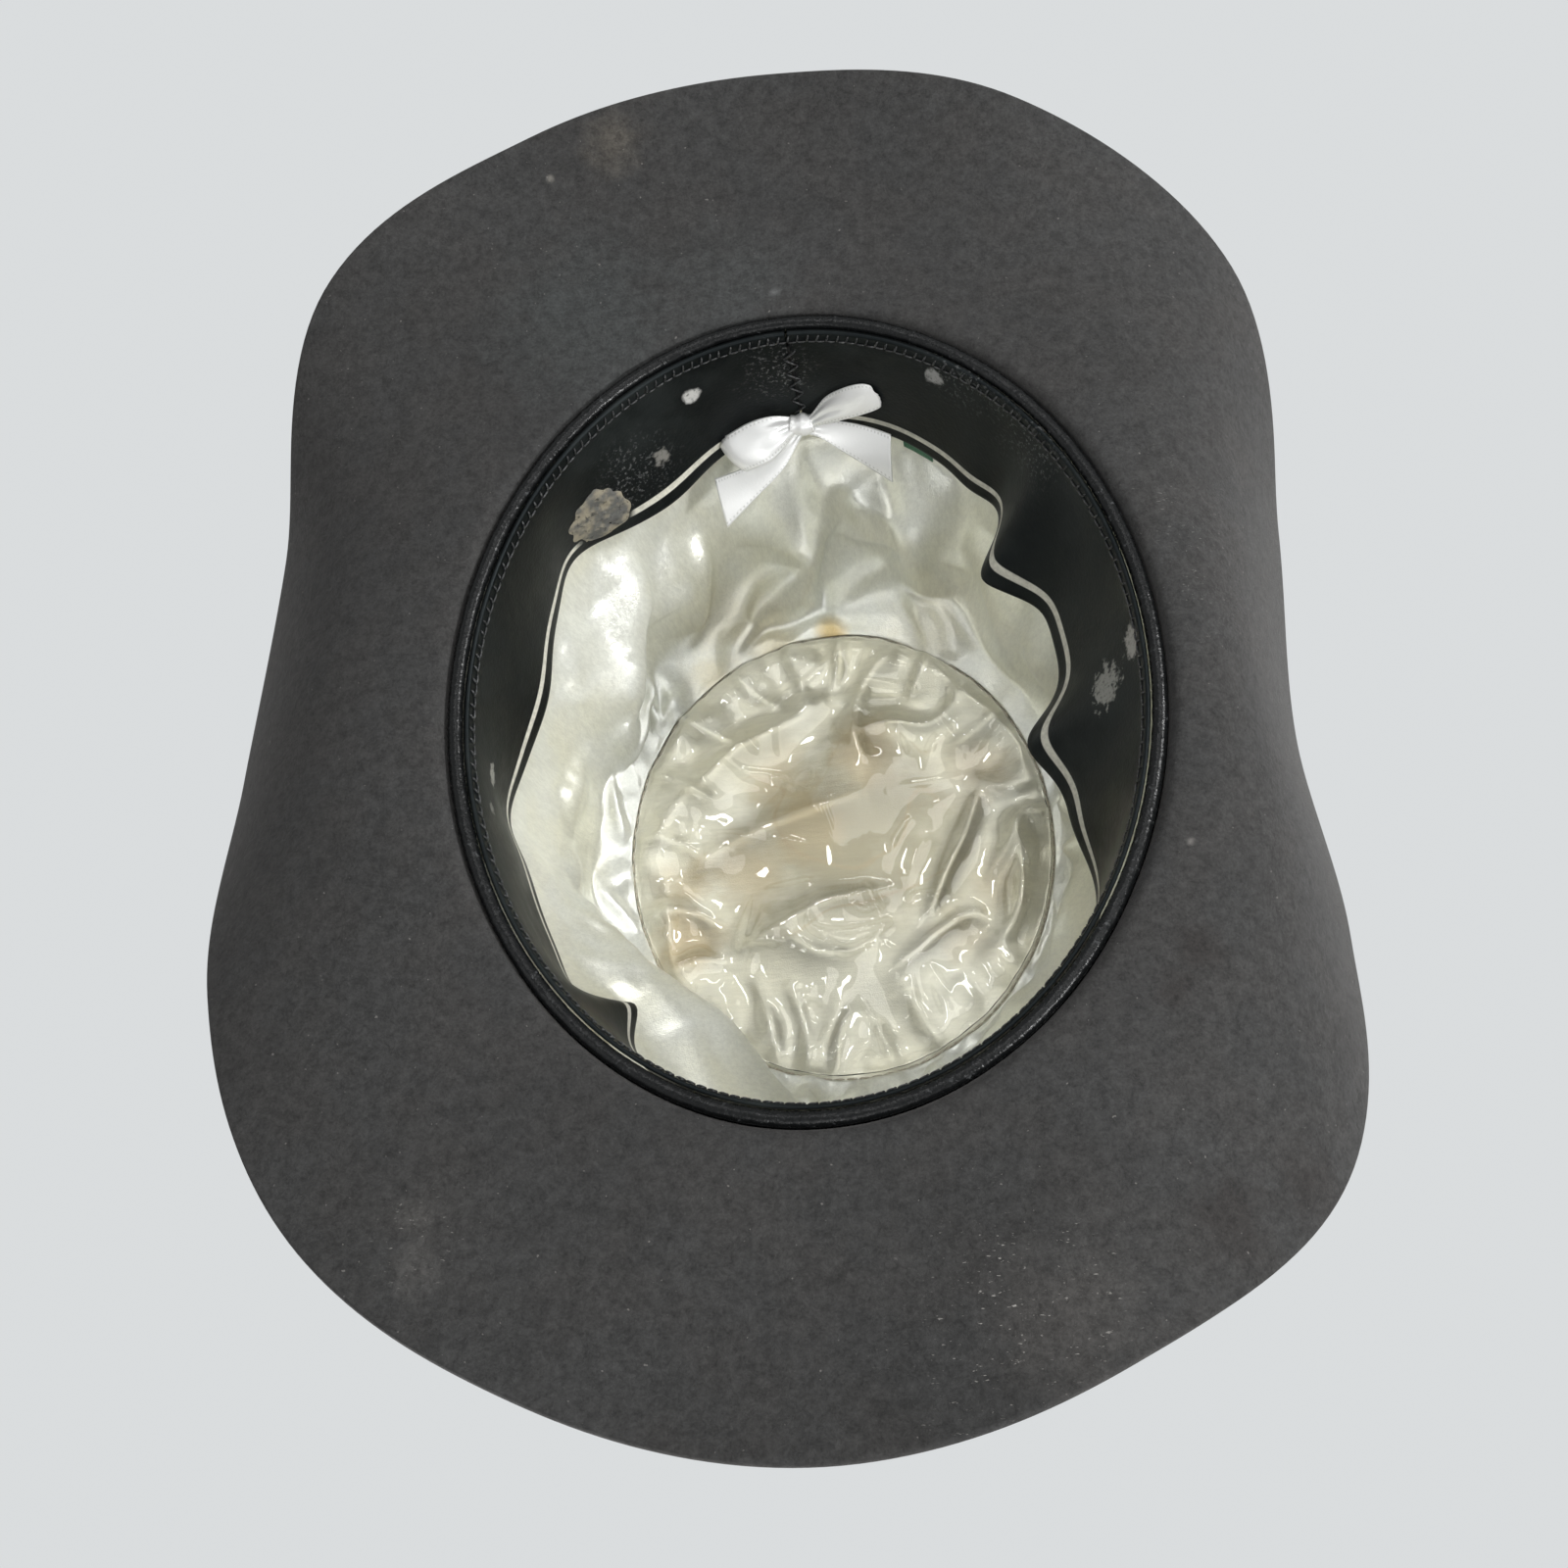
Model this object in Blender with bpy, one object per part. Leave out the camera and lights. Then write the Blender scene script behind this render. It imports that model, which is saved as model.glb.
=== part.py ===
"""Wide-brimmed felt hat with a creased crown, a leather sweatband, a satin lining and a ribbon band.

Units are metres. +Z points to the crown, -Y to the front and +X to the wearer's left.
The origin is the centre of the head opening, level with the underside of the brim at the crown.
Insets are measured inwards from the oval of the head opening, along the oval's own normal.
"""
import math

import bmesh
import bpy
from mathutils import Vector

# Head opening and common values
HEAD_HALF_WIDTH = 0.0851
HEAD_HALF_LENGTH = 0.1035
GAP = 0.0003
TURN_STEPS = 64
BACK = math.radians(90)
LEFT_SIDE = 0.0

# Felt body
FELT_THICKNESS = 0.0025
BREAK_RADIUS = 0.0035
CROWN_HEIGHT = 0.121
CROWN_TAPER = 0.012
TAPER_POWER = 2.2
SHOULDER_RADIUS = 0.022
CROWN_DOME = 0.005
CREASE_DEPTH = 0.013
CREASE_HALF_WIDTH = 0.025
CREASE_BACK_FADE = 0.65
PINCH_DEPTH = 0.008
PINCH_ANGLES = (math.radians(231), math.radians(309))
PINCH_SPREAD = math.radians(24)
PINCH_DROP = 0.028
PINCH_TALL = 0.027
# Reach and rise of the brim edge at even angles, from the wearer's left towards the back
BRIM_STATIONS = (
    (0.0625, 0.033),
    (0.062, 0.026),
    (0.077, -0.003),
    (0.0685, -0.011),
    (0.065, -0.011),
    (0.0665, -0.008),
    (0.071, 0.021),
    (0.046, 0.048),
    (0.036, 0.058),
    (0.050, 0.049),
    (0.069, 0.023),
    (0.066, -0.006),
    (0.068, -0.011),
    (0.0685, -0.011),
    (0.073, -0.004),
    (0.069, 0.012),
)
BRIM_BEND = 0.62

# Reed and the tape folded round it, at the foot of the sweatband
REED_DIAMETER = 0.0018
REED_TAPE_WALL = 0.0006
REED_RECESS = 0.0004
REED_TAPE_MOUTH = math.radians(40)

# Sweatband
BAND_LEATHER = 0.001
BAND_FOOT = 0.0018
BAND_TOP = 0.042
BAND_LEAN = 0.001
BAND_LEAN_START = 0.006
BAND_LEAN_POWER = 1.3
BAND_SEAM_GAP = 0.0008
# Where the band has buckled inwards: angle in degrees, swell and spread in degrees
BAND_WAVES = (
    (143, 0.009, 8),
    (164, 0.014, 20),
    (181, 0.009, 9),
    (316, 0.008, 7),
    (8, 0.004, 11),
    (62, 0.003, 15),
    (122, 0.003, 12),
)

# Threads
THREAD_DIAMETER = 0.0005
REED_STITCHES = 72
REED_STITCH_LOW = 0.0028
REED_STITCH_HIGH = 0.0054
SEAM_TAPE_WIDTH = 0.012
SEAM_TAPE_THICKNESS = 0.0004
SEAM_TAPE_FOOT = 0.008
SEAM_TAPE_TOP = 0.036
SEAM_STITCH_HALF_WIDTH = 0.002
SEAM_STITCH_PITCH = 0.003

# Lining
SATIN_THICKNESS = 0.0006
LINING_HEM = 0.014
LINING_SLACK = 0.0025
LINING_SLACK_POWER = 1.5
LINING_WALL_SHARE = 0.58
LINING_FOLD_START = 0.35
LINING_FOLD_FULL = 0.70
LINING_FOLD_END = 0.97
LINING_TURN_FROM = 0.8
LINING_TURN_DROP = 0.022
LINING_TURN_EASE = 1.2
TIP_HALF_WIDTH = 0.059
TIP_HALF_LENGTH = 0.0655
TIP_FORWARD = 0.005
TIP_CLEARANCE = 0.004
TIP_SEAM_HALF_GAP = 0.0007
TIP_SAG = 0.002
TIP_PLEATS = 18
TIP_PLEAT_DEPTH = 0.0006
SHIELD_THICKNESS = 0.0004
SEAM_CORD_DIAMETER = 0.0008
# Main folds of the lining wall: angle in degrees, depth and spread in degrees
LINING_FOLDS = (
    (312, 0.012, 17),
    (345, 0.005, 9),
    (20, 0.006, 10),
    (58, 0.004, 10),
    (98, 0.003, 12),
    (130, 0.004, 9),
    (165, 0.004, 10),
    (205, 0.005, 11),
    (240, 0.004, 10),
    (272, 0.004, 9),
)
LABEL_WIDTH = 0.010
LABEL_FOOT = 0.034
LABEL_TOP = 0.046
LABEL_THICKNESS = 0.0004
LABEL_ALONG = -0.031

# Ribbon bow inside the back
BOW_HEIGHT = 0.0425
BOW_RIBBON_WIDTH = 0.009
BOW_RIBBON_THICKNESS = 0.0005
BOW_WAIST_WIDTH = 0.0036
BOW_LOOP_REACH = 0.0215
BOW_LOOP_FULLNESS = 0.0032
BOW_LOOP_STAND_OFF = 0.0014
BOW_RIGHT_DROOP = math.radians(29)
BOW_TAIL_REACH = 0.0225
BOW_TAIL_RISE = 0.019
BOW_TAIL_LIFT = 0.006
KNOT_LENGTH = 0.005
KNOT_WALL = 0.0006
KNOT_MARGIN = 0.0005
# Half a loop from the knot and back: share of the reach, share of the fullness
BOW_LOOP_SHAPE = ((0.5, 0.0), (0.9, 0.0), (1.0, 0.5), (0.9, 1.0), (0.5, 1.0))
# A tail from the knot to its cut end: shares of the reach, the rise, the lift, the width and the lean
BOW_TAIL_SHAPE = (
    (0.13, 0.0, 0.0, 0.4, 0.0),
    (0.27, 0.22, 0.0, 0.7, 0.8),
    (0.6, 0.55, 0.2, 1.0, 1.0),
    (1.0, 1.0, 1.0, 1.0, 1.0),
)

# Ribbon band outside the crown, with its flat bow on the wearer's left
RIBBON_THICKNESS = 0.001
RIBBON_FOOT = 0.0055
RIBBON_WIDTH = 0.025
FLAT_BOW_HALF_LENGTH = 0.024
FLAT_BOW_FULLNESS = 0.0030
FLAT_BOW_THICKNESS = 0.0007
FLAT_BOW_MARGIN = 0.0025
# Half of the flattened loop, from its waist round the end and back: shares of the length and the fullness
FLAT_BOW_SHAPE = ((0.25, 0.3), (0.6, 1.0), (0.93, 0.9), (1.0, 0.45), (0.93, 0.0), (0.5, 0.0))
FLAT_WRAP_LENGTH = 0.009
FLAT_WRAP_WALL = 0.0006


def clear_scene():
    for item in list(bpy.data.objects):
        bpy.data.objects.remove(item, do_unlink=True)


def make_material(name, colour, roughness):
    material = bpy.data.materials.new(name)
    material.use_nodes = True
    shader = material.node_tree.nodes["Principled BSDF"]
    shader.inputs["Base Color"].default_value = (*colour, 1.0)
    shader.inputs["Roughness"].default_value = roughness
    shader.inputs["Metallic"].default_value = 0.0
    return material


def make_object(name, mesh, material):
    item = bpy.data.objects.new(name, mesh)
    item.data.materials.append(material)
    bpy.context.scene.collection.objects.link(item)
    return item


def smooth_step(low, high, value):
    share = min(max((value - low) / (high - low), 0.0), 1.0)
    return share * share * (3 - 2 * share)


def bell(distance, spread):
    return math.exp(-(distance / spread) ** 2)


def turn_between(angle, other):
    """Smallest turn from one angle to another, in radians."""
    return (angle - other + math.pi) % math.tau - math.pi


def turn_angles():
    return [math.tau * step / TURN_STEPS for step in range(TURN_STEPS)]


def oval(angle, inset, height):
    """Point beside the head oval."""
    across = math.cos(angle) / HEAD_HALF_WIDTH
    along = math.sin(angle) / HEAD_HALF_LENGTH
    size = math.hypot(across, along)
    x = HEAD_HALF_WIDTH * math.cos(angle) - inset * across / size
    y = HEAD_HALF_LENGTH * math.sin(angle) - inset * along / size
    return Vector((x, y, height))


def loft(name, rows, wrap_rows=False, pole=None, cap_ends=False):
    """Mesh of quads between closed rows, with a pole before the first row or caps on the end rows."""
    work = bmesh.new()
    grid = [[work.verts.new(point) for point in row] for row in rows]
    row_count = len(grid)
    column_count = len(grid[0])
    for i in range(row_count if wrap_rows else row_count - 1):
        for j in range(column_count):
            here = grid[i]
            after = grid[(i + 1) % row_count]
            side = (j + 1) % column_count
            work.faces.new((here[j], after[j], after[side], here[side]))
    if pole is not None:
        centre = work.verts.new(pole)
        first = grid[0]
        for j in range(column_count):
            work.faces.new((centre, first[j], first[(j + 1) % column_count]))
    if cap_ends:
        work.faces.new(grid[0])
        work.faces.new(grid[-1])
    if wrap_rows or cap_ends:
        bmesh.ops.recalc_face_normals(work, faces=work.faces)
    mesh = bpy.data.meshes.new(name)
    work.to_mesh(mesh)
    work.free()
    mesh.shade_smooth()
    return mesh


def thicken(item, thickness, offset):
    """Give a sheet its thickness, outwards (+1) or inwards (-1) from the modelled surface."""
    solidify = item.modifiers.new("Thickness", "SOLIDIFY")
    solidify.thickness = thickness
    solidify.offset = offset
    solidify.use_even_offset = True
    return item


def make_tube(name, points, diameter, material, sides_level, closed):
    """Round cord along a line of points."""
    curve = bpy.data.curves.new(name, "CURVE")
    curve.dimensions = "3D"
    curve.bevel_depth = diameter / 2
    curve.bevel_resolution = sides_level
    curve.use_fill_caps = not closed
    spline = curve.splines.new("POLY")
    spline.points.add(len(points) - 1)
    for spot, point in zip(spline.points, points):
        spot.co = (*point, 1.0)
    spline.use_cyclic_u = closed
    return make_object(name, curve, material)


# Felt body: crown and brim blocked from one piece


def wall_top():
    return CROWN_HEIGHT - CROWN_DOME - SHOULDER_RADIUS


def pinch(angle, height):
    """How far the two dents beside the front of the crown push the wall in."""
    drop = bell(height - (CROWN_HEIGHT - PINCH_DROP), PINCH_TALL)
    return sum(PINCH_DEPTH * drop * bell(turn_between(angle, dent), PINCH_SPREAD) for dent in PINCH_ANGLES)


def wall_inset(angle, height):
    """Inset of the inside of the crown wall."""
    share = max(height - BREAK_RADIUS, 0.0) / (wall_top() - BREAK_RADIUS)
    return CROWN_TAPER * share ** TAPER_POWER + pinch(angle, height)


def crease(point, height):
    """How far the crease along the top of the crown pushes the felt down."""
    weight = smooth_step(wall_top(), CROWN_HEIGHT, height)
    fade = 1 - CREASE_BACK_FADE * smooth_step(0.0, HEAD_HALF_LENGTH - CROWN_TAPER, point.y)
    return CREASE_DEPTH * weight * fade * bell(point.x, CREASE_HALF_WIDTH)


def brim_edge(angle):
    """Reach and rise of the brim edge, on a smooth closed curve through the stations."""
    count = len(BRIM_STATIONS)
    place = (angle % math.tau) / math.tau * count
    first = int(place) % count
    t = place - int(place)
    before, start, end, after = (BRIM_STATIONS[(first + step) % count] for step in (-1, 0, 1, 2))
    values = []
    for a, b, c, d in zip(before, start, end, after):
        slope_in = (c - a) / 2
        slope_out = (d - b) / 2
        values.append(
            b * (1 + 2 * t) * (1 - t) ** 2
            + slope_in * t * (1 - t) ** 2
            + c * t * t * (3 - 2 * t)
            - slope_out * t * t * (1 - t)
        )
    return values


def crown_ring(inset, height, share=1.0):
    """Ring of the crown's inside surface, drawn in to a share of its size and dented by crease and pinch."""
    ring = []
    for angle in turn_angles():
        point = oval(angle, inset + pinch(angle, height), height)
        point.x *= share
        point.y *= share
        point.z -= crease(point, height)
        ring.append(point)
    return ring


def brim_ring(t):
    """Ring of the brim's underside, at a share of the way along its bent section."""
    ring = []
    for angle in turn_angles():
        reach, rise = brim_edge(angle)
        bend = BREAK_RADIUS + BRIM_BEND * (reach - BREAK_RADIUS)
        out = BREAK_RADIUS * (1 - t) ** 2 + 2 * bend * t * (1 - t) + reach * t * t
        ring.append(oval(angle, -out, rise * t * t))
    return ring


def build_felt_body(material):
    top_steps = 4
    shoulder_steps = 3
    wall_steps = 5
    break_steps = 2
    brim_steps = 6
    top_level = CROWN_HEIGHT - CROWN_DOME
    rings = []
    for step in range(1, top_steps):
        share = step / top_steps
        level = top_level + CROWN_DOME * (1 - share * share)
        rings.append(crown_ring(CROWN_TAPER + SHOULDER_RADIUS, level, share))
    for step in range(shoulder_steps, 0, -1):
        turn = math.pi / 2 * step / shoulder_steps
        inset = CROWN_TAPER + SHOULDER_RADIUS * (1 - math.cos(turn))
        rings.append(crown_ring(inset, wall_top() + SHOULDER_RADIUS * math.sin(turn)))
    for step in range(wall_steps, -1, -1):
        height = BREAK_RADIUS + (wall_top() - BREAK_RADIUS) * step / wall_steps
        inset = wall_inset(BACK, height) - pinch(BACK, height)
        rings.append(crown_ring(inset, height))
    for step in range(1, break_steps):
        turn = math.pi / 2 * step / break_steps
        out = BREAK_RADIUS * (1 - math.cos(turn))
        rings.append(crown_ring(-out, BREAK_RADIUS * (1 - math.sin(turn))))
    for step in range(brim_steps + 1):
        rings.append(brim_ring(step / brim_steps))
    pole = Vector((0.0, 0.0, CROWN_HEIGHT))
    pole.z -= crease(pole, CROWN_HEIGHT)
    mesh = loft("felt_body", rings, pole=pole)
    return thicken(make_object("felt_body", mesh, material), FELT_THICKNESS, 1)


# Reed, reed tape and sweatband


def reed_tape_radius():
    return REED_DIAMETER / 2 + GAP + REED_TAPE_WALL


def reed_centre():
    """Inset and height of the middle of the reed."""
    return GAP + reed_tape_radius(), reed_tape_radius() + REED_RECESS


def build_reed_core(material):
    inset, height = reed_centre()
    points = [oval(angle, inset, height) for angle in turn_angles()]
    return make_tube("reed_core", points, REED_DIAMETER, material, 1, True)


def build_reed_cover(material):
    """Tape folded round the reed, open towards the crown."""
    inset, height = reed_centre()
    outside = reed_tape_radius()
    channel = REED_DIAMETER / 2 + GAP
    arc_steps = 6
    sweep = math.tau - 2 * REED_TAPE_MOUTH
    turns = [REED_TAPE_MOUTH + sweep * step / arc_steps for step in range(arc_steps + 1)]
    section = [(outside * math.sin(turn), outside * math.cos(turn)) for turn in turns]
    section += [(channel * math.sin(turn), channel * math.cos(turn)) for turn in reversed(turns)]
    rows = [[oval(angle, inset + u, height + v) for u, v in section] for angle in turn_angles()]
    mesh = loft("reed_cover", rows, wrap_rows=True)
    return make_object("reed_cover", mesh, material)


def band_wave(angle):
    """How far the free edge of the sweatband stands in from its foot."""
    waves = BAND_LEAN
    for centre, swell, spread in BAND_WAVES:
        waves += swell * bell(turn_between(angle, math.radians(centre)), math.radians(spread))
    return waves


def band_back(angle, height):
    """Inset of the side of the sweatband that faces the felt."""
    foot = reed_centre()[0] + reed_tape_radius() + GAP
    share = min(max((height - BAND_LEAN_START) / (BAND_TOP - BAND_LEAN_START), 0.0), 1.0)
    return foot + band_wave(angle) * share ** BAND_LEAN_POWER


def band_face(angle, height):
    """Inset of the side of the sweatband that faces the head."""
    return band_back(angle, height) + BAND_LEATHER


def build_sweatband(material):
    """Leather strip bent round the opening, its ends meeting at the back."""
    rise_steps = 4
    half_gap = BAND_SEAM_GAP / 2 / HEAD_HALF_WIDTH
    start = BACK + half_gap
    sweep = math.tau - 2 * half_gap
    levels = [BAND_FOOT]
    for step in range(rise_steps + 1):
        levels.append(BAND_LEAN_START + (BAND_TOP - BAND_LEAN_START) * step / rise_steps)
    rows = []
    for step in range(TURN_STEPS + 1):
        angle = start + sweep * step / TURN_STEPS
        outer = [oval(angle, band_back(angle, level), level) for level in levels]
        inner = [oval(angle, band_face(angle, level), level) for level in reversed(levels)]
        rows.append(outer + inner)
    mesh = loft("sweatband", rows, cap_ends=True)
    return make_object("sweatband", mesh, material)


def build_reed_stitching(material):
    """Zigzag thread that sews the foot of the sweatband to the reed tape."""
    points = []
    for step in range(2 * REED_STITCHES):
        angle = math.tau * step / (2 * REED_STITCHES)
        height = REED_STITCH_LOW if step % 2 else REED_STITCH_HIGH
        points.append(oval(angle, band_face(angle, height) + GAP + THREAD_DIAMETER / 2, height))
    return make_tube("reed_stitching", points, THREAD_DIAMETER, material, 0, True)


# Pieces laid along the back of the sweatband


def back_angle(along):
    """Angle on the oval at a length along the back, counted towards the wearer's left."""
    return BACK - along / HEAD_HALF_WIDTH


def on_band(along, stand_off, height):
    """Point that stands off the face of the sweatband at the back."""
    angle = back_angle(along)
    return oval(angle, band_face(angle, height) + stand_off, height)


def behind_band(along, depth, height):
    """Point behind the sweatband at the back."""
    angle = back_angle(along)
    return oval(angle, band_back(angle, height) - depth, height)


def build_patch(name, middle, width, foot, top, thickness, material):
    """Flat strip of tape or cloth lying against the hidden side of the sweatband."""
    width_steps = 4
    rise_steps = 4
    rows = []
    for i in range(width_steps + 1):
        along = middle + width * (i / width_steps - 0.5)
        levels = [foot + (top - foot) * j / rise_steps for j in range(rise_steps + 1)]
        near = [behind_band(along, GAP, level) for level in levels]
        far = [behind_band(along, GAP + thickness, level) for level in reversed(levels)]
        rows.append(near + far)
    mesh = loft(name, rows, cap_ends=True)
    return make_object(name, mesh, material)


def build_back_seam_thread(material):
    """Zigzag stitches across the butted ends of the sweatband."""
    count = int((SEAM_TAPE_TOP - SEAM_TAPE_FOOT) / SEAM_STITCH_PITCH)
    points = []
    for step in range(count + 1):
        side = SEAM_STITCH_HALF_WIDTH if step % 2 else -SEAM_STITCH_HALF_WIDTH
        height = SEAM_TAPE_FOOT + SEAM_STITCH_PITCH * step
        points.append(on_band(side, GAP + THREAD_DIAMETER / 2, height))
    return make_tube("back_seam_thread", points, THREAD_DIAMETER, material, 1, False)


# Bow tied from satin ribbon


def bow_layers():
    """Stand-offs in the knot: its back wall, the tails, the two layers of the loops and its front wall."""
    step = BOW_RIBBON_THICKNESS + GAP
    back_wall = GAP
    tails = back_wall + KNOT_WALL + GAP + BOW_RIBBON_THICKNESS / 2
    loop_back = tails + step
    loop_front = loop_back + step
    front_wall = loop_front + BOW_RIBBON_THICKNESS / 2 + GAP
    return back_wall, tails, loop_back, loop_front, front_wall


def ribbon_rows(path, thickness, place, closed=False):
    """Sections of a ribbon along a path of (along, stand-off, height, width, lean of the width)."""
    count = len(path)
    rows = []
    for i, (along, stand_off, height, width, lean) in enumerate(path):
        before = path[(i - 1) % count if closed else max(i - 1, 0)]
        after = path[(i + 1) % count if closed else min(i + 1, count - 1)]
        run = math.hypot(after[0] - before[0], after[1] - before[1])
        normal = (-(after[1] - before[1]) / run, (after[0] - before[0]) / run)
        row = []
        for side, face in ((-1, -1), (1, -1), (1, 1), (-1, 1)):
            shift = side * width / 2
            lift = face * thickness / 2
            row.append(
                place(
                    along + shift * math.sin(lean) + lift * normal[0],
                    stand_off + lift * normal[1],
                    height + shift * math.cos(lean),
                )
            )
        rows.append(row)
    return rows


def build_bow_loops(material):
    """One ribbon: out along the left loop, back through the knot, and round the right loop."""
    back, front = bow_layers()[2:4]
    knot_end = KNOT_LENGTH / 2 + KNOT_MARGIN
    half_path = [(GAP, back, BOW_WAIST_WIDTH), (knot_end, back, BOW_WAIST_WIDTH)]
    for reach, fullness in BOW_LOOP_SHAPE:
        stand_off = back + BOW_LOOP_STAND_OFF + fullness * BOW_LOOP_FULLNESS
        half_path.append((reach * BOW_LOOP_REACH, stand_off, BOW_RIBBON_WIDTH))
    half_path.append((knot_end, front, BOW_WAIST_WIDTH))
    path = [(along, stand_off, BOW_HEIGHT, width, 0.0) for along, stand_off, width in half_path]
    path.append((0.0, front, BOW_HEIGHT, BOW_WAIST_WIDTH, 0.0))
    for along, stand_off, width in reversed(half_path):
        past_knot = max(along - knot_end, 0.0)
        lean = -BOW_RIGHT_DROOP if past_knot else 0.0
        drop = past_knot * math.tan(BOW_RIGHT_DROOP)
        path.append((-along, stand_off, BOW_HEIGHT - drop, width, lean))
    mesh = loft("bow_loops", ribbon_rows(path, BOW_RIBBON_THICKNESS, on_band), cap_ends=True)
    return make_object("bow_loops", mesh, material)


def build_bow_tails(material):
    """One ribbon through the back of the knot, its two ends rising in front of the lining."""
    level = bow_layers()[1]
    slope = math.atan2(BOW_TAIL_RISE, BOW_TAIL_REACH)
    path = []
    for side, shape in ((1, reversed(BOW_TAIL_SHAPE)), (-1, BOW_TAIL_SHAPE)):
        for reach, rise, lift, width, lean in shape:
            path.append(
                (
                    side * reach * BOW_TAIL_REACH,
                    level + lift * BOW_TAIL_LIFT,
                    BOW_HEIGHT + rise * BOW_TAIL_RISE,
                    width * BOW_RIBBON_WIDTH,
                    -side * lean * slope,
                )
            )
    mesh = loft("bow_tails", ribbon_rows(path, BOW_RIBBON_THICKNESS, on_band), cap_ends=True)
    return make_object("bow_tails", mesh, material)


def wrap_rows(length, near, far, foot, top, wall, place):
    """Flat ring wrapped round a bow's waist, as sections that run round it."""
    corners = ((near, foot), (far, foot), (far, top), (near, top))
    signs = ((-1, -1), (1, -1), (1, 1), (-1, 1))
    rows = []
    for (stand_off, height), (out, up) in zip(corners, signs):
        inner = (stand_off, height)
        outer = (stand_off + out * wall, height + up * wall)
        rows.append(
            [
                place(-length / 2, *inner),
                place(length / 2, *inner),
                place(length / 2, *outer),
                place(-length / 2, *outer),
            ]
        )
    return rows


def build_bow_knot(material):
    back_wall, _, _, _, front_wall = bow_layers()
    half_height = BOW_WAIST_WIDTH / 2 + GAP
    rows = wrap_rows(
        KNOT_LENGTH,
        back_wall + KNOT_WALL,
        front_wall,
        BOW_HEIGHT - half_height,
        BOW_HEIGHT + half_height,
        KNOT_WALL,
        on_band,
    )
    mesh = loft("bow_knot", rows, wrap_rows=True)
    return make_object("bow_knot", mesh, material)


# Satin lining: side wall, tip, seam and the clear shield over the tip


def tip_level():
    return CROWN_HEIGHT - CREASE_DEPTH - TIP_CLEARANCE


def tip_point(angle, share, margin=0.0, below=0.0):
    """Point on the upper side of the lining tip, at a share of the way out to its seam."""
    x = share * (TIP_HALF_WIDTH - margin) * math.cos(angle)
    y = share * (TIP_HALF_LENGTH - margin) * math.sin(angle) - TIP_FORWARD
    sag = TIP_SAG * (1 - share * share)
    pleat = TIP_PLEAT_DEPTH * share * share * (1 + math.cos(TIP_PLEATS * angle)) / 2
    return Vector((x, y, tip_level() - sag - pleat - below))


def lining_fold(angle, share):
    """How far the folds of the side wall stand in from a smooth wall."""
    weight = smooth_step(LINING_FOLD_START, LINING_WALL_SHARE, share)
    weight *= smooth_step(LINING_FOLD_END, LINING_FOLD_FULL, share)
    depth = 0.0
    for centre, swell, spread in LINING_FOLDS:
        depth += swell * bell(turn_between(angle, math.radians(centre)), math.radians(spread))
    return depth * weight


def lining_wall(angle, share):
    """Point on the stretch of lining that follows the crown wall, from the hem to where it turns in."""
    height = LINING_HEM + (tip_level() - LINING_TURN_DROP - LINING_HEM) * share
    return oval(angle, wall_inset(angle, height) + GAP + LINING_SLACK * share**LINING_SLACK_POWER, height)


def lining_point(angle, share):
    """Point on the felt side of the lining, from the hem to the tip seam."""
    if share <= LINING_WALL_SHARE:
        point = lining_wall(angle, share / LINING_WALL_SHARE)
    else:
        t = (share - LINING_WALL_SHARE) / (1 - LINING_WALL_SHARE)
        start = lining_wall(angle, 1.0)
        seam = tip_point(angle, 1.0, margin=-TIP_SEAM_HALF_GAP)
        corner = start + (start - lining_wall(angle, LINING_TURN_FROM)) * LINING_TURN_EASE
        point = start * (1 - t) ** 2 + corner * 2 * t * (1 - t) + seam * t * t
    inwards = oval(angle, 1.0, 0.0) - oval(angle, 0.0, 0.0)
    return point + inwards * lining_fold(angle, share)


def build_lining_side(material):
    rise_steps = 6
    rings = []
    for step in range(rise_steps, -1, -1):
        rings.append([lining_point(angle, step / rise_steps) for angle in turn_angles()])
    mesh = loft("lining_side", rings)
    return thicken(make_object("lining_side", mesh, material), SATIN_THICKNESS, -1)


def build_tip_disc(name, margin, below, thickness, material):
    """Oval sheet across the top of the lining."""
    disc_steps = 3
    rings = []
    for step in range(1, disc_steps + 1):
        rings.append([tip_point(angle, step / disc_steps, margin, below) for angle in turn_angles()])
    mesh = loft(name, rings, pole=tip_point(0.0, 0.0, margin, below))
    return thicken(make_object(name, mesh, material), thickness, -1)


def seam_cord_margin():
    return TIP_SEAM_HALF_GAP + SATIN_THICKNESS + GAP + SEAM_CORD_DIAMETER / 2


def build_tip_seam_thread(material):
    """Thread that sews the shield and the tip to the side wall, just inside the seam."""
    below = SATIN_THICKNESS + GAP + SEAM_CORD_DIAMETER / 2
    points = [tip_point(angle, 1.0, seam_cord_margin(), below) for angle in turn_angles()]
    return make_tube("tip_seam_thread", points, SEAM_CORD_DIAMETER, material, 0, True)


# Ribbon band outside the crown and its flat bow


def felt_outset(angle, height):
    """Distance of the outside of the crown wall beyond the head oval."""
    return FELT_THICKNESS - wall_inset(angle, height)


def build_hat_band(material):
    top = RIBBON_FOOT + RIBBON_WIDTH
    rows = []
    for angle in turn_angles():
        near_foot = felt_outset(angle, RIBBON_FOOT) + GAP
        near_top = felt_outset(angle, top) + GAP
        rows.append(
            [
                oval(angle, -near_foot, RIBBON_FOOT),
                oval(angle, -near_foot - RIBBON_THICKNESS, RIBBON_FOOT),
                oval(angle, -near_top - RIBBON_THICKNESS, top),
                oval(angle, -near_top, top),
            ]
        )
    mesh = loft("hat_band", rows, wrap_rows=True)
    return make_object("hat_band", mesh, material)


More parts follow.
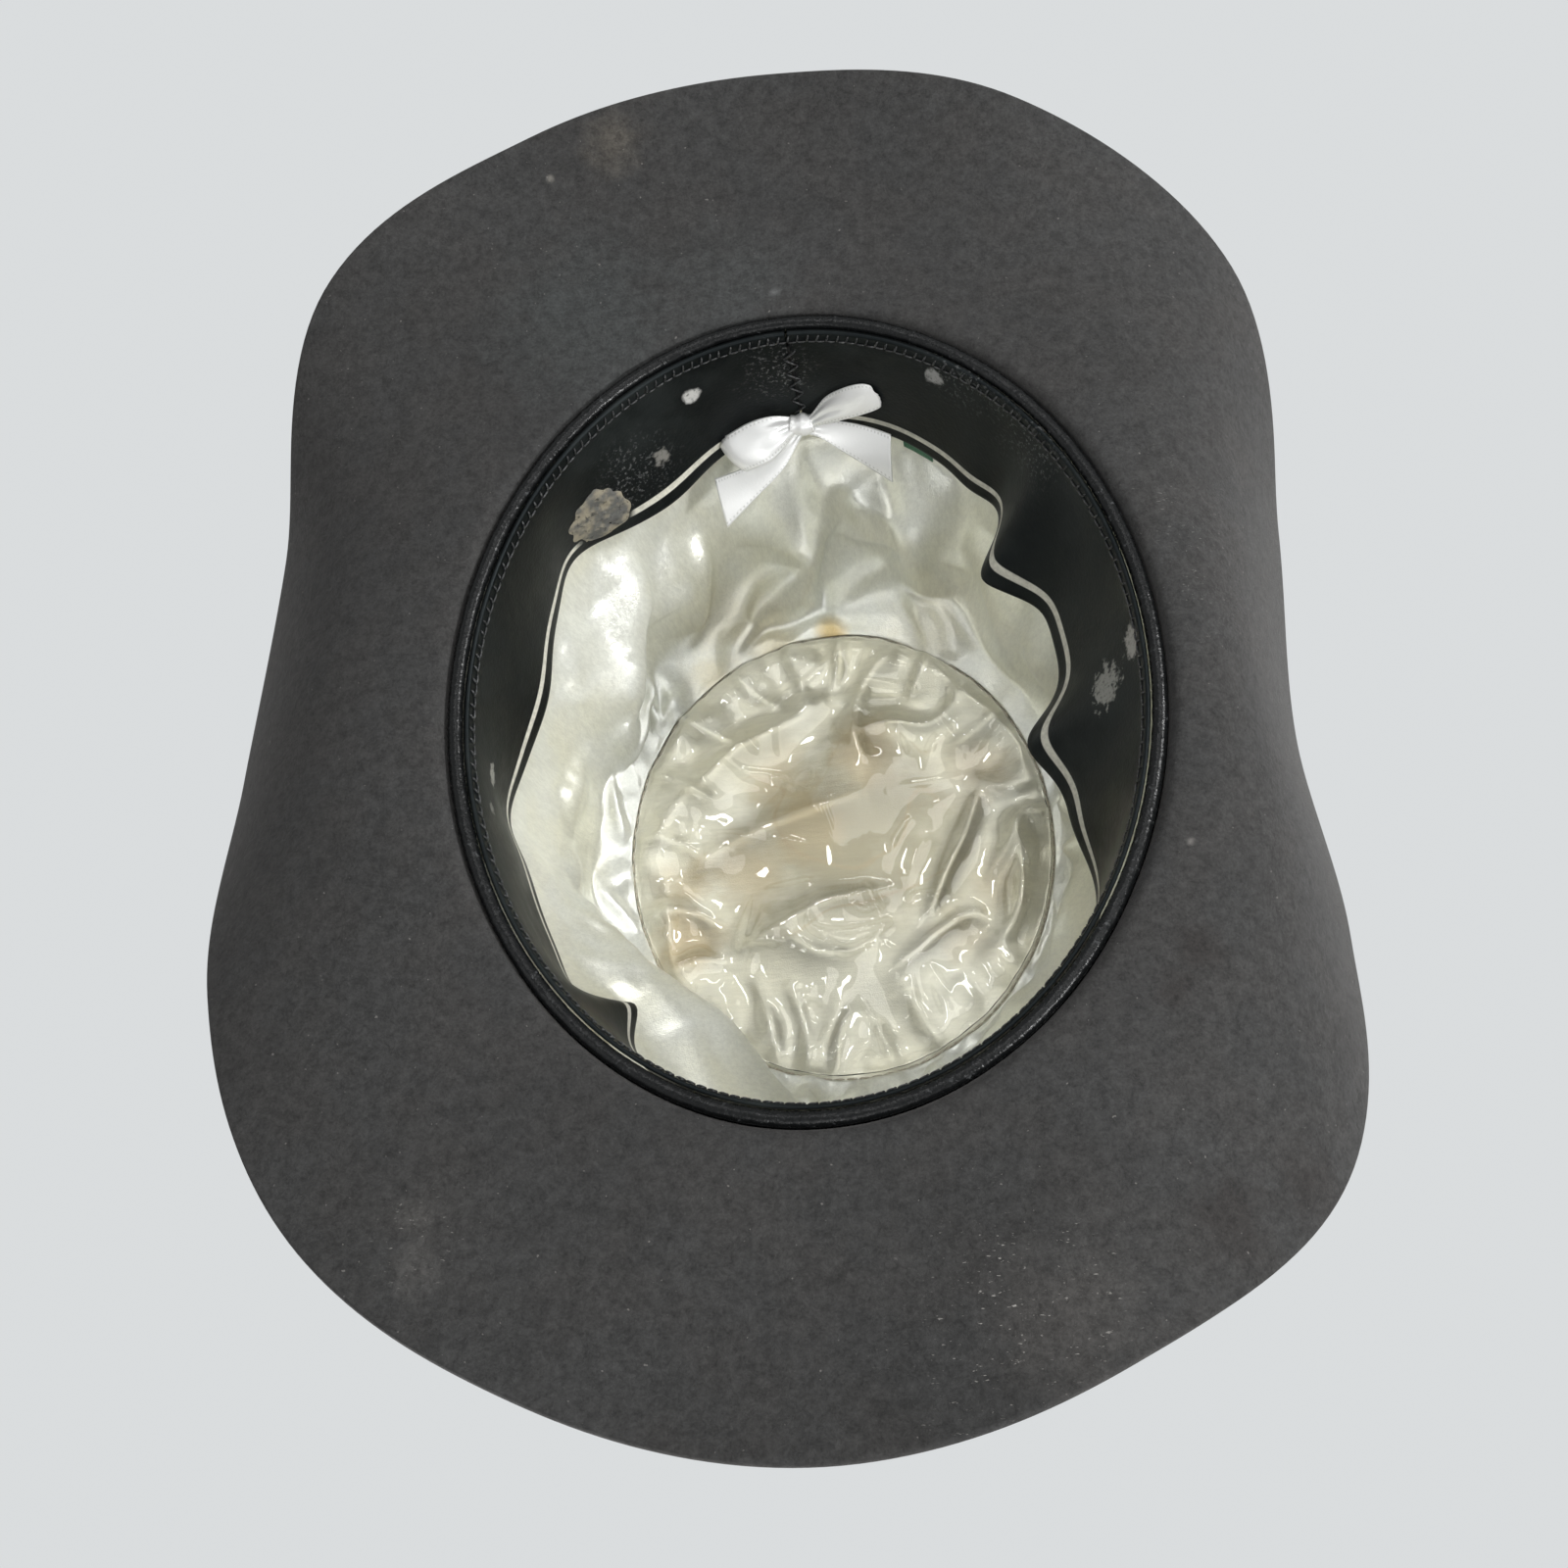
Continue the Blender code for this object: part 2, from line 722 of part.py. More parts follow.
def on_ribbon(along, stand_off, height):
    """Point that stands off the outside ribbon on the wearer's left."""
    angle = LEFT_SIDE + along / HEAD_HALF_LENGTH
    return oval(angle, -(felt_outset(angle, height) + GAP + RIBBON_THICKNESS + stand_off), height)


def flat_bow_levels():
    """Stand-offs of the back layer of the flat bow's waist, and of its front layer."""
    back = GAP + FLAT_WRAP_WALL + GAP + FLAT_BOW_THICKNESS / 2
    return back, back + FLAT_BOW_THICKNESS + GAP


def build_band_bow(material):
    """Closed loop of ribbon, flattened against the band and drawn in at its waist."""
    back, front = flat_bow_levels()
    waist = FLAT_WRAP_LENGTH / 2 + GAP
    half_path = [(0.0, front), (waist, front)]
    for share, fullness in FLAT_BOW_SHAPE:
        along = waist + share * (FLAT_BOW_HALF_LENGTH - waist)
        level = front + fullness * FLAT_BOW_FULLNESS if fullness else back
        half_path.append((along, level))
    half_path += [(waist, back), (0.0, back)]
    loop = half_path + [(-along, level) for along, level in reversed(half_path[1:-1])]
    middle = RIBBON_FOOT + RIBBON_WIDTH / 2
    width = RIBBON_WIDTH - 2 * FLAT_BOW_MARGIN
    path = [(along, level, middle, width, 0.0) for along, level in loop]
    rows = ribbon_rows(path, FLAT_BOW_THICKNESS, on_ribbon, closed=True)
    mesh = loft("band_bow", rows, wrap_rows=True)
    return make_object("band_bow", mesh, material)


def build_band_bow_wrap(material):
    """Short ribbon wrapped round the waist of the flat bow."""
    front = flat_bow_levels()[1]
    rows = wrap_rows(
        FLAT_WRAP_LENGTH,
        GAP + FLAT_WRAP_WALL,
        front + FLAT_BOW_THICKNESS / 2 + GAP,
        RIBBON_FOOT + FLAT_BOW_MARGIN - GAP,
        RIBBON_FOOT + RIBBON_WIDTH - FLAT_BOW_MARGIN + GAP,
        FLAT_WRAP_WALL,
        on_ribbon,
    )
    mesh = loft("band_bow_wrap", rows, wrap_rows=True)
    return make_object("band_bow_wrap", mesh, material)


def build_hat():
    felt = make_material("felt", (0.055, 0.050, 0.047), 0.95)
    leather = make_material("black_leather", (0.012, 0.013, 0.013), 0.45)
    tape = make_material("reed_tape", (0.010, 0.010, 0.011), 0.40)
    plastic = make_material("reed_plastic", (0.55, 0.53, 0.48), 0.50)
    thread = make_material("black_thread", (0.015, 0.015, 0.016), 0.70)
    backing = make_material("seam_tape", (0.04, 0.04, 0.04), 0.80)
    ribbon = make_material("white_satin_ribbon", (0.82, 0.82, 0.79), 0.35)
    satin = make_material("ivory_satin", (0.72, 0.70, 0.60), 0.30)
    seam = make_material("ivory_thread", (0.66, 0.62, 0.50), 0.60)
    film = make_material("clear_film", (0.85, 0.85, 0.80), 0.08)
    label = make_material("green_label", (0.05, 0.16, 0.09), 0.70)
    grosgrain = make_material("grosgrain", (0.020, 0.018, 0.017), 0.60)

    build_felt_body(felt)
    build_hat_band(grosgrain)
    build_band_bow(grosgrain)
    build_band_bow_wrap(grosgrain)
    build_sweatband(leather)
    build_reed_core(plastic)
    build_reed_cover(tape)
    build_reed_stitching(thread)
    build_patch(
        "back_seam_tape", 0.0, SEAM_TAPE_WIDTH, SEAM_TAPE_FOOT, SEAM_TAPE_TOP, SEAM_TAPE_THICKNESS, backing
    )
    build_back_seam_thread(thread)
    build_patch("size_label", LABEL_ALONG, LABEL_WIDTH, LABEL_FOOT, LABEL_TOP, LABEL_THICKNESS, label)
    build_bow_loops(ribbon)
    build_bow_tails(ribbon)
    build_bow_knot(ribbon)
    build_lining_side(satin)
    build_tip_disc("lining_tip", TIP_SEAM_HALF_GAP, 0.0, SATIN_THICKNESS, satin)
    shield_margin = seam_cord_margin() + SEAM_CORD_DIAMETER / 2 + GAP
    build_tip_disc("tip_shield", shield_margin, SATIN_THICKNESS + GAP, SHIELD_THICKNESS, film)
    build_tip_seam_thread(seam)


clear_scene()
build_hat()
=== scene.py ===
"""Looks of the wide-brimmed felt hat: the finish of every surface, and its soft pieces as modelled meshes.

Units are metres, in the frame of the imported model: +Z points to the crown, -Y to the front and +X to the
wearer's left. Angles run round the head opening, from the wearer's left over the back.
Insets are measured inwards from the oval of the head opening, along the oval's own normal.
"""
import math

import bpy
import numpy as np
from mathutils import Matrix, Vector, noise


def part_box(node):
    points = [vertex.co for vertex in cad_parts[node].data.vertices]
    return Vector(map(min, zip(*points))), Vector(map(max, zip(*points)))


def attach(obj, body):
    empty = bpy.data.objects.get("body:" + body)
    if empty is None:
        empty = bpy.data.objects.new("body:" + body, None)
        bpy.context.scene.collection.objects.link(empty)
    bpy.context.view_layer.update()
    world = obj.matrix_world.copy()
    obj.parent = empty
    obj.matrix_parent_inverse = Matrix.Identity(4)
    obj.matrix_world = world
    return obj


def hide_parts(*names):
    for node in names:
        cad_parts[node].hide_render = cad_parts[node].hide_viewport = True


TAU = math.tau
SEED = 7

# View of the photograph
CAMERA_PLACE = (-0.0409, -0.1865, -0.4176)
CAMERA_RIGHT = (-0.9921, -0.0341, 0.1208)
CAMERA_UP = (-0.0751, 0.9322, -0.3542)
CAMERA_LENS_MM = 45.0
CAMERA_SENSOR_MM = 36.0
# Distances from the hat at which the floor starts to fade into the background and has done so
FLOOR_FADE = (0.30, 0.95)

# Lamps: name, place, size and power. The first places are steps right, up and towards the viewer.
LAMP_AIM = (0.0, 0.0, 0.03)
VIEW_LAMPS = (
    ("low_key", (0.80, -0.32, 0.84), (0.18, 0.18), 8.8),
    ("high_key", (0.80, 0.55, 0.60), (0.18, 0.18), 6.2),
    ("front", (0.15, 0.45, 0.95), (0.8, 0.5), 1.6),
    ("low", (-0.10, -0.55, 0.85), (0.5, 0.4), 1.2),
    ("fill", (-0.85, -0.10, 0.75), (0.6, 0.6), 0.6),
    ("glint", (-0.22, 0.62, 0.78), (0.06, 0.22), 0.9),
    ("side_glint", (0.42, 0.12, 0.90), (0.05, 0.2), 0.5),
    ("far_strip", (0.10, 0.85, 0.55), (0.5, 0.03), 0.6),
    ("near_strip", (-0.05, -0.75, 0.75), (0.5, 0.03), 0.6),
    ("left_strip", (-0.75, 0.15, 0.70), (0.03, 0.4), 0.3),
)
TOP_LAMPS = (
    ("top_key", (0.55, -0.55, 0.95), (0.6, 0.6), 8.0),
    ("top_fill", (-0.75, 0.45, 0.75), (0.7, 0.7), 4.0),
)
WORLD_COLOUR = (1.0, 0.995, 0.985, 1.0)
WORLD_STRENGTH = 0.27
BACKGROUND = (0.70, 0.72, 0.73, 1.0)

# Head opening
HEAD_HALF_WIDTH = 0.0851
HEAD_HALF_LENGTH = 0.1035
GAP = 0.0003
BACK = math.radians(90)

# Felt body
FELT_THICKNESS = 0.0025
BREAK_RADIUS = 0.0035
CROWN_HEIGHT = 0.121
CROWN_TAPER = 0.012
TAPER_POWER = 2.2
SHOULDER_RADIUS = 0.022
CROWN_DOME = 0.005
CREASE_DEPTH = 0.013
CREASE_HALF_WIDTH = 0.025
CREASE_BACK_FADE = 0.65
PINCH_DEPTH = 0.008
PINCH_ANGLES = (math.radians(231), math.radians(309))
PINCH_SPREAD = math.radians(24)
PINCH_DROP = 0.028
PINCH_TALL = 0.027
# Reach and rise of the brim edge at even angles, from the wearer's left towards the back
BRIM_STATIONS = (
    (0.0625, 0.033),
    (0.062, 0.026),
    (0.077, -0.003),
    (0.0685, -0.011),
    (0.065, -0.011),
    (0.0665, -0.008),
    (0.071, 0.021),
    (0.046, 0.048),
    (0.036, 0.058),
    (0.050, 0.049),
    (0.069, 0.023),
    (0.066, -0.006),
    (0.068, -0.011),
    (0.0685, -0.011),
    (0.073, -0.004),
    (0.069, 0.012),
)
BRIM_BEND = 0.62
FELT_TURN_STEPS = 320
FELT_TOP_RINGS = 20
FELT_SHOULDER_RINGS = 12
FELT_WALL_RINGS = 28
FELT_BREAK_RINGS = 7
FELT_BRIM_RINGS = 40
FELT_EDGE_RINGS = 9
FELT_INNER_RING = 0.06
FELT_RIPPLE = 0.00027
FELT_RIPPLE_SCALE = 28.0
FELT_EDGE_SWELL = 0.3
FELT_EDGE_POWER = 0.6

# Reed and its tape
REED_DIAMETER = 0.0018
REED_TAPE_WALL = 0.0006
REED_RECESS = 0.0004
REED_FLAP = 0.0075
REED_FLAP_ROWS = 4
REED_TAPE_ROWS = 20
REED_TAPE_RIPPLE = 0.00012
REED_TAPE_RIPPLE_SCALE = 520.0

# Sweatband
BAND_LEATHER = 0.001
BAND_FOOT = 0.0018
BAND_TOP = 0.042
BAND_LEAN = 0.001
BAND_LEAN_START = 0.006
BAND_LEAN_POWER = 1.3
BAND_SEAM_GAP = 0.0008
BAND_CURL = 0.0018
BAND_CURL_HEIGHT = 0.007
# Where the band has buckled inwards: angle in degrees, swell and spread in degrees
BAND_WAVES = (
    (13, 0.0052, 11),
    (38, -0.0042, 7),
    (58, 0.007, 14),
    (122, 0.003, 12),
    (129, 0.0025, 6),
    (144, 0.0145, 6),
    (151, 0.005, 5),
    (165, 0.0125, 22),
    (182, 0.0165, 8.5),
    (196, 0.0098, 9),
    (315, 0.0085, 4),
    (325, -0.0010, 4),
    (353, -0.0032, 6),
)
BAND_LINE = (0.0363, 0.0383)
BAND_TURN_STEPS = 560
BAND_RISE_ROWS = 48
BAND_EDGE_ROWS = 6

# Lump of residue on the sweatband
CRUST_ALONG = 0.0672
CRUST_HEIGHT = 0.0305
CRUST_HALF_WIDTH = 0.0088
CRUST_HALF_HEIGHT = 0.0098
CRUST_THICKNESS = 0.0010
CRUST_RAGGED = 0.22
CRUST_RAGGED_SCALE = 2.6
CRUST_LEVEL = 0.75
CRUST_EDGE_POWER = 6
CRUST_INNER_RING = 0.04
CRUST_TURN_STEPS = 96
CRUST_RINGS = 20

# Threads
THREAD_DIAMETER = 0.0005
THREAD_SIDES = 6
THREAD_END = 0.45
STITCH_POINTS = 5
STITCH_ENDS = (0.08, 0.92)
STITCH_WANDER = 0.12
REED_STITCHES = 196
REED_STITCH_LOW = 0.0026
REED_STITCH_HIGH = 0.0047
REED_STITCH_SHIFT = 0.4
REED_STITCH_RISE = 0.0006
SEAM_TAPE_WIDTH = 0.012
SEAM_TAPE_THICKNESS = 0.0004
SEAM_TAPE_FOOT = 0.008
SEAM_TAPE_TOP = 0.036
PATCH_COLUMNS = 16
PATCH_ROWS = 20
PATCH_RIPPLE = 0.0001
PATCH_RIPPLE_SCALE = 260.0
SEAM_STITCH_HALF_WIDTH = 0.002
SEAM_STITCH_PITCH = 0.003
SEAM_STITCH_POINTS = 6
SEAM_STITCH_ENDS = (0.05, 0.95)

# Lining
SATIN_THICKNESS = 0.0006
LINING_HEM = 0.014
LINING_SLACK = 0.0025
LINING_SLACK_POWER = 1.5
LINING_WALL_SHARE = 0.58
LINING_TURN_FROM = 0.8
LINING_TURN_DROP = 0.022
LINING_TURN_EASE = 1.2
LINING_TURN_STEPS = 240
LINING_RISE_STEPS = 56
LINING_SPARE = 0.036
# Where the lining has no cloth to spare: angle in degrees, share and spread in degrees
LINING_TIGHT = ((88, 0.9, 40), (150, 0.9, 36))
LINING_ROLL_LIFT = 0.0155
SETTLE_SCALE = 10.0
SETTLE_FRAMES = 24
SETTLE_WEIGHT = 1.6
SETTLE_CLOTH = {
    "quality": 6,
    "mass": 0.15,
    "tension_stiffness": 15.0,
    "compression_stiffness": 15.0,
    "shear_stiffness": 5.0,
    "bending_stiffness": 1.5,
    "air_damping": 2.0,
    "vertex_group_mass": "held",
    "vertex_group_shrink": "tight",
    "shrink_min": -LINING_SPARE,
}
TIP_HALF_WIDTH = 0.059
TIP_HALF_LENGTH = 0.0655
TIP_FORWARD = 0.005
TIP_CLEARANCE = 0.004
TIP_SEAM_HALF_GAP = 0.0007
TIP_SAG = 0.002
TIP_PLEATS = 18
TIP_PLEAT_DEPTH = 0.0006
TIP_BOWL = 0.0030
TIP_CREASE_GAP = 0.0011
TIP_SWELL = 0.0022
TIP_SWELL_SCALE = 34.0
TIP_SWELL_SHIFT = 9.1
TIP_HANG = 0.4
TIP_PLEAT_WANDER = 4
# Shares of the way out to the seam between which the pleats grow, and the swell, folds and bowl fade
TIP_PLEATS_GROW = (0.6, 0.97)
TIP_SWELL_FADES = (1.0, 0.8)
TIP_FOLDS_FADE = (1.06, 0.96)
TIP_BOWL_FADES = (1.0, 0.74)
# Folds of the lining tip: points of (x, y), width and height, in millimetres
TIP_FOLDS = (
    (((56, -3), (44, 13), (33, 24), (22, 31), (13, 35), (1, 42)), 5.5, 3.4),
    (((48, 26), (44, 34), (35, 37), (30, 41)), 3.6, 2.0),
    (((-7, 23), (-5, 31), (-7, 40), (-11, 48), (-17, 53)), 3.0, 2.4),
    (((-8, 31), (-16, 33), (-25, 31), (-32, 34), (-35, 39), (-32, 47)), 2.2, 1.9),
    (((-37, 40), (-46, 31), (-52, 23), (-53, 15)), 2.4, 1.8),
    (((-39, 8), (-35, -3), (-29, -14), (-24, -25)), 2.2, 2.2),
    (((-60, 2), (-51, 1), (-47, -7), (-42, -14)), 2.2, 2.0),
    (((-50, -2), (-50, -16), (-48, -27), (-43, -35)), 2.4, 2.2),
    (((-13, -41), (-20, -36), (-28, -30), (-36, -27), (-44, -33)), 2.6, 1.8),
    (((-16, -46), (-20, -56), (-26, -64)), 2.6, 1.7),
    (((25, -43), (22, -52), (20, -61), (20, -69)), 2.4, 1.6),
    (((15, -46), (12, -57), (11, -69)), 2.2, 1.6),
    (((2, -50), (6, -60), (7, -69)), 2.6, 1.7),
    (((-8, -56), (-12, -69)), 2.2, 1.4),
    (((28, -32), (15, -25), (3, -20), (-14, -18)), 3.4, 2.0),
    (((46, -11), (33, -3), (20, 3), (7, 7), (-7, 11)), 4.5, 1.7),
    (((42, -46), (38, -50), (32, -55)), 2.0, 1.4),
    (((15, -30), (8, -35), (-1, -36)), 2.6, 1.4),
    (((50, -11), (49, -26), (48, -39)), 3.0, 1.6),
    (((30, 52), (24, 45), (16, 40)), 2.4, 1.7),
    (((46, 38), (38, 33), (30, 30)), 2.4, 1.7),
    (((55, 22), (46, 18), (37, 12)), 3.0, 1.9),
    (((59, 2), (50, 1), (42, -3)), 2.8, 1.7),
    (((14, 58), (10, 49), (8, 40)), 2.2, 1.6),
    (((-2, 60), (-2, 51), (-1, 46)), 2.0, 1.5),
    (((-28, 53), (-24, 45), (-22, 40)), 2.0, 1.5),
    (((-49, 34), (-41, 28), (-34, 24)), 2.2, 1.6),
    (((-58, 12), (-48, 10), (-40, 13)), 2.4, 1.7),
    (((57, -22), (46, -20), (37, -24)), 2.6, 1.7),
    (((51, -40), (42, -35), (34, -36)), 2.4, 1.6),
)
# Creases of the film, in the same way
FILM_CREASES = (
    (((27, 42), (24, 40), (19, 40), (14, 44), (8, 47), (1, 53)), 0.8, 0.8),
    (((1, 40), (-7, 40), (-17, 40), (-23, 41), (-22, 43), (-14, 45), (-6, 46)), 0.7, 0.7),
    (((1, 40), (-6, 38), (-12, 35)), 0.7, 0.6),
    (((-12, 50), (-20, 53), (-24, 49), (-17, 50)), 0.7, 0.6),
    (((10, -24), (8, -29), (0, -30), (-7, -29), (-12, -28)), 0.9, 1.0),
    (((10, -27), (5, -32), (0, -36), (-7, -33), (-11, -29)), 1.1, 1.0),
    (((-2, -22), (-6, -24), (-11, -22)), 1.2, 0.9),
    (((28, -31), (23, -31), (17, -32)), 0.7, 0.6),
    (((-18, -21), (-22, -20), (-28, -21)), 0.7, 0.6),
    (((-51, -34), (-54, -27), (-56, -20)), 0.8, 0.8),
    (((-4, -50), (-7, -56), (-10, -63), (-12, -69)), 0.8, 0.8),
    (((5, -70), (4, -65), (2, -60)), 0.8, 0.8),
    (((24, -67), (23, -62)), 0.7, 0.6),
    (((2, -70), (-2, -67), (-5, -66), (-9, -67)), 0.9, 0.8),
    (((28, 49), (26, 47)), 0.7, 0.6),
    (((25, 50), (23, 47)), 0.7, 0.6),
    (((8, 55), (8, 52)), 0.7, 0.6),
    (((0, 57), (-1, 51), (0, 45)), 0.9, 0.8),
    (((-34, 48), (-34, 43)), 0.7, 0.6),
    (((-39, 43), (-37, 39)), 0.9, 0.8),
    (((-51, -7), (-52, -11), (-53, -15)), 0.8, 0.7),
)
RIDGE_CREST = 0.4
RIDGE_PITCH = 0.9
RIDGE_REACH = 6.0
RIDGE_ENDS = (0.1, 0.9)
RIDGE_END_POWER = 0.6
TIP_TUCK = 0.0035
TIP_TURN_STEPS = 400
TIP_RING_STEPS = 96
TIP_INNER_RING = 0.03
FILM_CLEARANCE = 0.0006
FILM_MARGIN = 0.006
FILM_GATHERS = 46
FILM_GATHER_DEPTH = 0.0007
FILM_CREASE_DEPTH = 1.4
FILM_SWELL = 0.0008
FILM_SWELL_SCALE = 75.0
FILM_SWELL_SHIFT = 2.0
FILM_GATHER_WANDER = 5
FILM_CREASES_FADE = (1.0, 0.93)
FILM_GATHERS_GROW = (0.84, 0.96)
FILM_WRINKLES = 80
# Wrinkles: limits of their shares of the way out to the seam, and of their sizes in millimetres
WRINKLE_PLACES = (0.05, 1.0)
WRINKLE_HALF_LENGTHS = (3.0, 9.0)
WRINKLE_WIDTHS = (0.7, 1.8)
WRINKLE_HEIGHTS = (0.2, 0.8)
WRINKLE_BEND = 0.7
SHIELD_THICKNESS = 0.0004
SEAM_THREAD_DIAMETER = 0.0006
TIP_STITCHES = 110
# Folds of the lining wall. Each is a ridge along points of (angle in degrees, share from the hem to the tip
# seam, lift), with its width on the side of the hem and on the side of the tip.
LINING_FOLDS = (
    (((354, 0.34, 0.0), (341, 0.46, 0.0085), (326, 0.52, 0.014), (313, 0.56, 0.0155), (301, 0.62, 0.012),
      (291, 0.70, 0.007), (282, 0.80, 0.001)), 0.024, 0.008),
    (((40, 0.26, 0.0), (43, 0.36, 0.003), (42, 0.47, 0.005), (32, 0.58, 0.005), (24, 0.76, 0.004),
      (22, 0.9, 0.0)), 0.013, 0.010),
    (((62, 0.36, 0.0), (72, 0.40, 0.002), (84, 0.42, 0.003), (94, 0.41, 0.0035), (104, 0.40, 0.0025),
      (113, 0.38, 0.0)), 0.014, 0.012),
    (((92, 0.44, 0.003), (90, 0.60, 0.0036), (86, 0.72, 0.0034), (78, 0.82, 0.003), (66, 0.90, 0.0025),
      (57, 0.97, 0.0)), 0.007, 0.009),
    (((97, 0.40, 0.001), (102, 0.50, 0.0026), (101, 0.58, 0.0022), (97, 0.66, 0.0)), 0.010, 0.010),
    (((110, 0.34, 0.0), (114, 0.44, 0.002), (114, 0.54, 0.0016), (110, 0.62, 0.0)), 0.009, 0.012),
    (((112, 0.74, 0.0), (117, 0.86, 0.0045), (122, 0.95, 0.004), (125, 1.0, 0.0)), 0.010, 0.008),
    (((134, 0.44, 0.0), (137, 0.56, 0.005), (143, 0.68, 0.004), (150, 0.80, 0.0)), 0.010, 0.012),
    (((356, 0.80, 0.0), (6, 0.87, 0.007), (12, 0.90, 0.008), (18, 0.93, 0.004)), 0.011, 0.007),
    (((12, 0.50, 0.0), (2, 0.58, 0.005), (352, 0.66, 0.007), (345, 0.78, 0.006),
      (340, 0.90, 0.003)), 0.012, 0.010),
    (((166, 0.50, 0.0), (171, 0.66, 0.005), (173, 0.82, 0.004), (170, 0.95, 0.0)), 0.010, 0.010),
    (((186, 0.46, 0.0), (191, 0.62, 0.006), (196, 0.80, 0.004), (200, 0.96, 0.0)), 0.012, 0.010),
    (((214, 0.44, 0.0), (219, 0.60, 0.005), (222, 0.78, 0.005), (222, 0.95, 0.0)), 0.010, 0.012),
    (((240, 0.46, 0.0), (244, 0.64, 0.005), (247, 0.82, 0.004), (248, 0.97, 0.0)), 0.010, 0.010),
    (((262, 0.50, 0.0), (266, 0.70, 0.006), (268, 0.86, 0.005), (270, 0.98, 0.0)), 0.009, 0.010),
    (((280, 0.60, 0.0), (281.5, 0.80, 0.004), (281, 0.98, 0.001)), 0.004, 0.005),
)
# Finer folds of the settled lining, in the same way. A hollow has a lift below 0.
LINING_CREASES = (
    (((40, 0.30, 0.0), (46, 0.41, 0.0026), (40, 0.51, 0.0036), (32, 0.59, 0.0036),
      (27, 0.68, 0.0015)), 0.010, 0.003),
    (((62, 0.50, 0.0), (60, 0.55, 0.003), (56, 0.65, 0.0032), (54, 0.77, 0.0026),
      (50, 0.86, 0.0)), 0.004, 0.0026),
    (((20, 0.88, 0.0), (22, 0.85, 0.0022), (29, 0.82, 0.0038), (34, 0.79, 0.0032)), 0.004, 0.003),
    (((34, 0.79, 0.003), (34, 0.90, 0.0032), (35, 0.95, 0.001)), 0.003, 0.003),
    (((34, 0.94, 0.0006), (40, 0.95, 0.0032), (42, 0.985, 0.001)), 0.003, 0.003),
    (((26, 0.62, 0.0), (24, 0.66, 0.0026), (22, 0.76, 0.0034), (21, 0.90, 0.002),
      (20, 0.98, 0.0)), 0.005, 0.003),
    (((14, 0.80, 0.0), (12, 0.84, 0.0034), (8, 0.91, 0.0032), (5, 0.97, 0.0)), 0.004, 0.003),
    (((352, 0.76, 0.0), (350, 0.82, 0.0026), (347, 0.90, 0.0026), (342, 0.98, 0.0)), 0.004, 0.003),
    (((2, 0.55, 0.0), (359, 0.60, 0.0026), (354, 0.77, 0.0032), (350, 0.86, 0.002),
      (338, 0.95, 0.0)), 0.006, 0.004),
    (((90, 0.50, 0.0), (92, 0.64, -0.0022), (90, 0.78, -0.0026), (89, 0.88, -0.0026),
      (88, 0.97, 0.0)), 0.003, 0.003),
    (((91, 0.50, 0.0), (86, 0.65, 0.0028), (78, 0.79, 0.0028), (69, 0.86, 0.0022),
      (60, 0.96, 0.0)), 0.005, 0.003),
    (((82, 0.72, 0.0), (79, 0.75, 0.0016), (72, 0.81, 0.0022), (66, 0.90, 0.002),
      (56, 0.98, 0.0)), 0.003, 0.003),
    (((100, 0.45, 0.0), (102, 0.47, 0.0022), (111, 0.53, 0.0028), (114, 0.59, 0.0028), (109, 0.74, 0.0022),
      (98, 0.85, 0.0016), (92, 0.94, 0.0)), 0.004, 0.004),
    (((112, 0.82, 0.0), (114, 0.84, 0.0022), (121, 0.84, 0.0034), (126, 0.91, 0.0028),
      (124, 0.97, 0.0)), 0.005, 0.004),
)
FOLD_CREST = 0.35
FOLD_RADIUS = 0.080
FOLD_RISE = 0.110
FOLD_STEPS = 48
FOLD_FALL = 0.6
# Shares from the hem between which the folds rise, and below which the wall is held by the sweatband
FOLD_START = (0.24, 0.42)
LINING_HELD = (0.36, 0.28)
ROLL_HELD = (0.7, 0.9)

# Label behind the sweatband
LABEL_WIDTH = 0.010
LABEL_FOOT = 0.034
LABEL_TOP = 0.0475
LABEL_THICKNESS = 0.0004
LABEL_ALONG = -0.0355

# Ribbon bow inside the back
BOW_HEIGHT = 0.0368
BOW_STAND_OFF = 0.0026
BOW_TILT = math.radians(32)
BOW_RIBBON_THICKNESS = 0.0004
SELVAGE_PITCH = 0.0011
BOW_PLEAT = 0.045
BOW_PLEATS = 2.5
BOW_PLEAT_REACH = 0.34
BOW_SIDE_STEPS = 25
BOW_LOOP_STEPS = 90
BOW_TAIL_STEPS = 40
LEFT_LOOP_CUP = 0.09
RIGHT_LOOP_CUP = 0.10
TAIL_CUP = 0.05
KNOT_HALF_LENGTH = 0.0031
KNOT_HALF_HEIGHT = 0.0027
KNOT_HALF_DEPTH = 0.0024
KNOT_FORWARD = 0.0011
KNOT_SIDE_STEPS = 15
KNOT_TURN_STEPS = 40
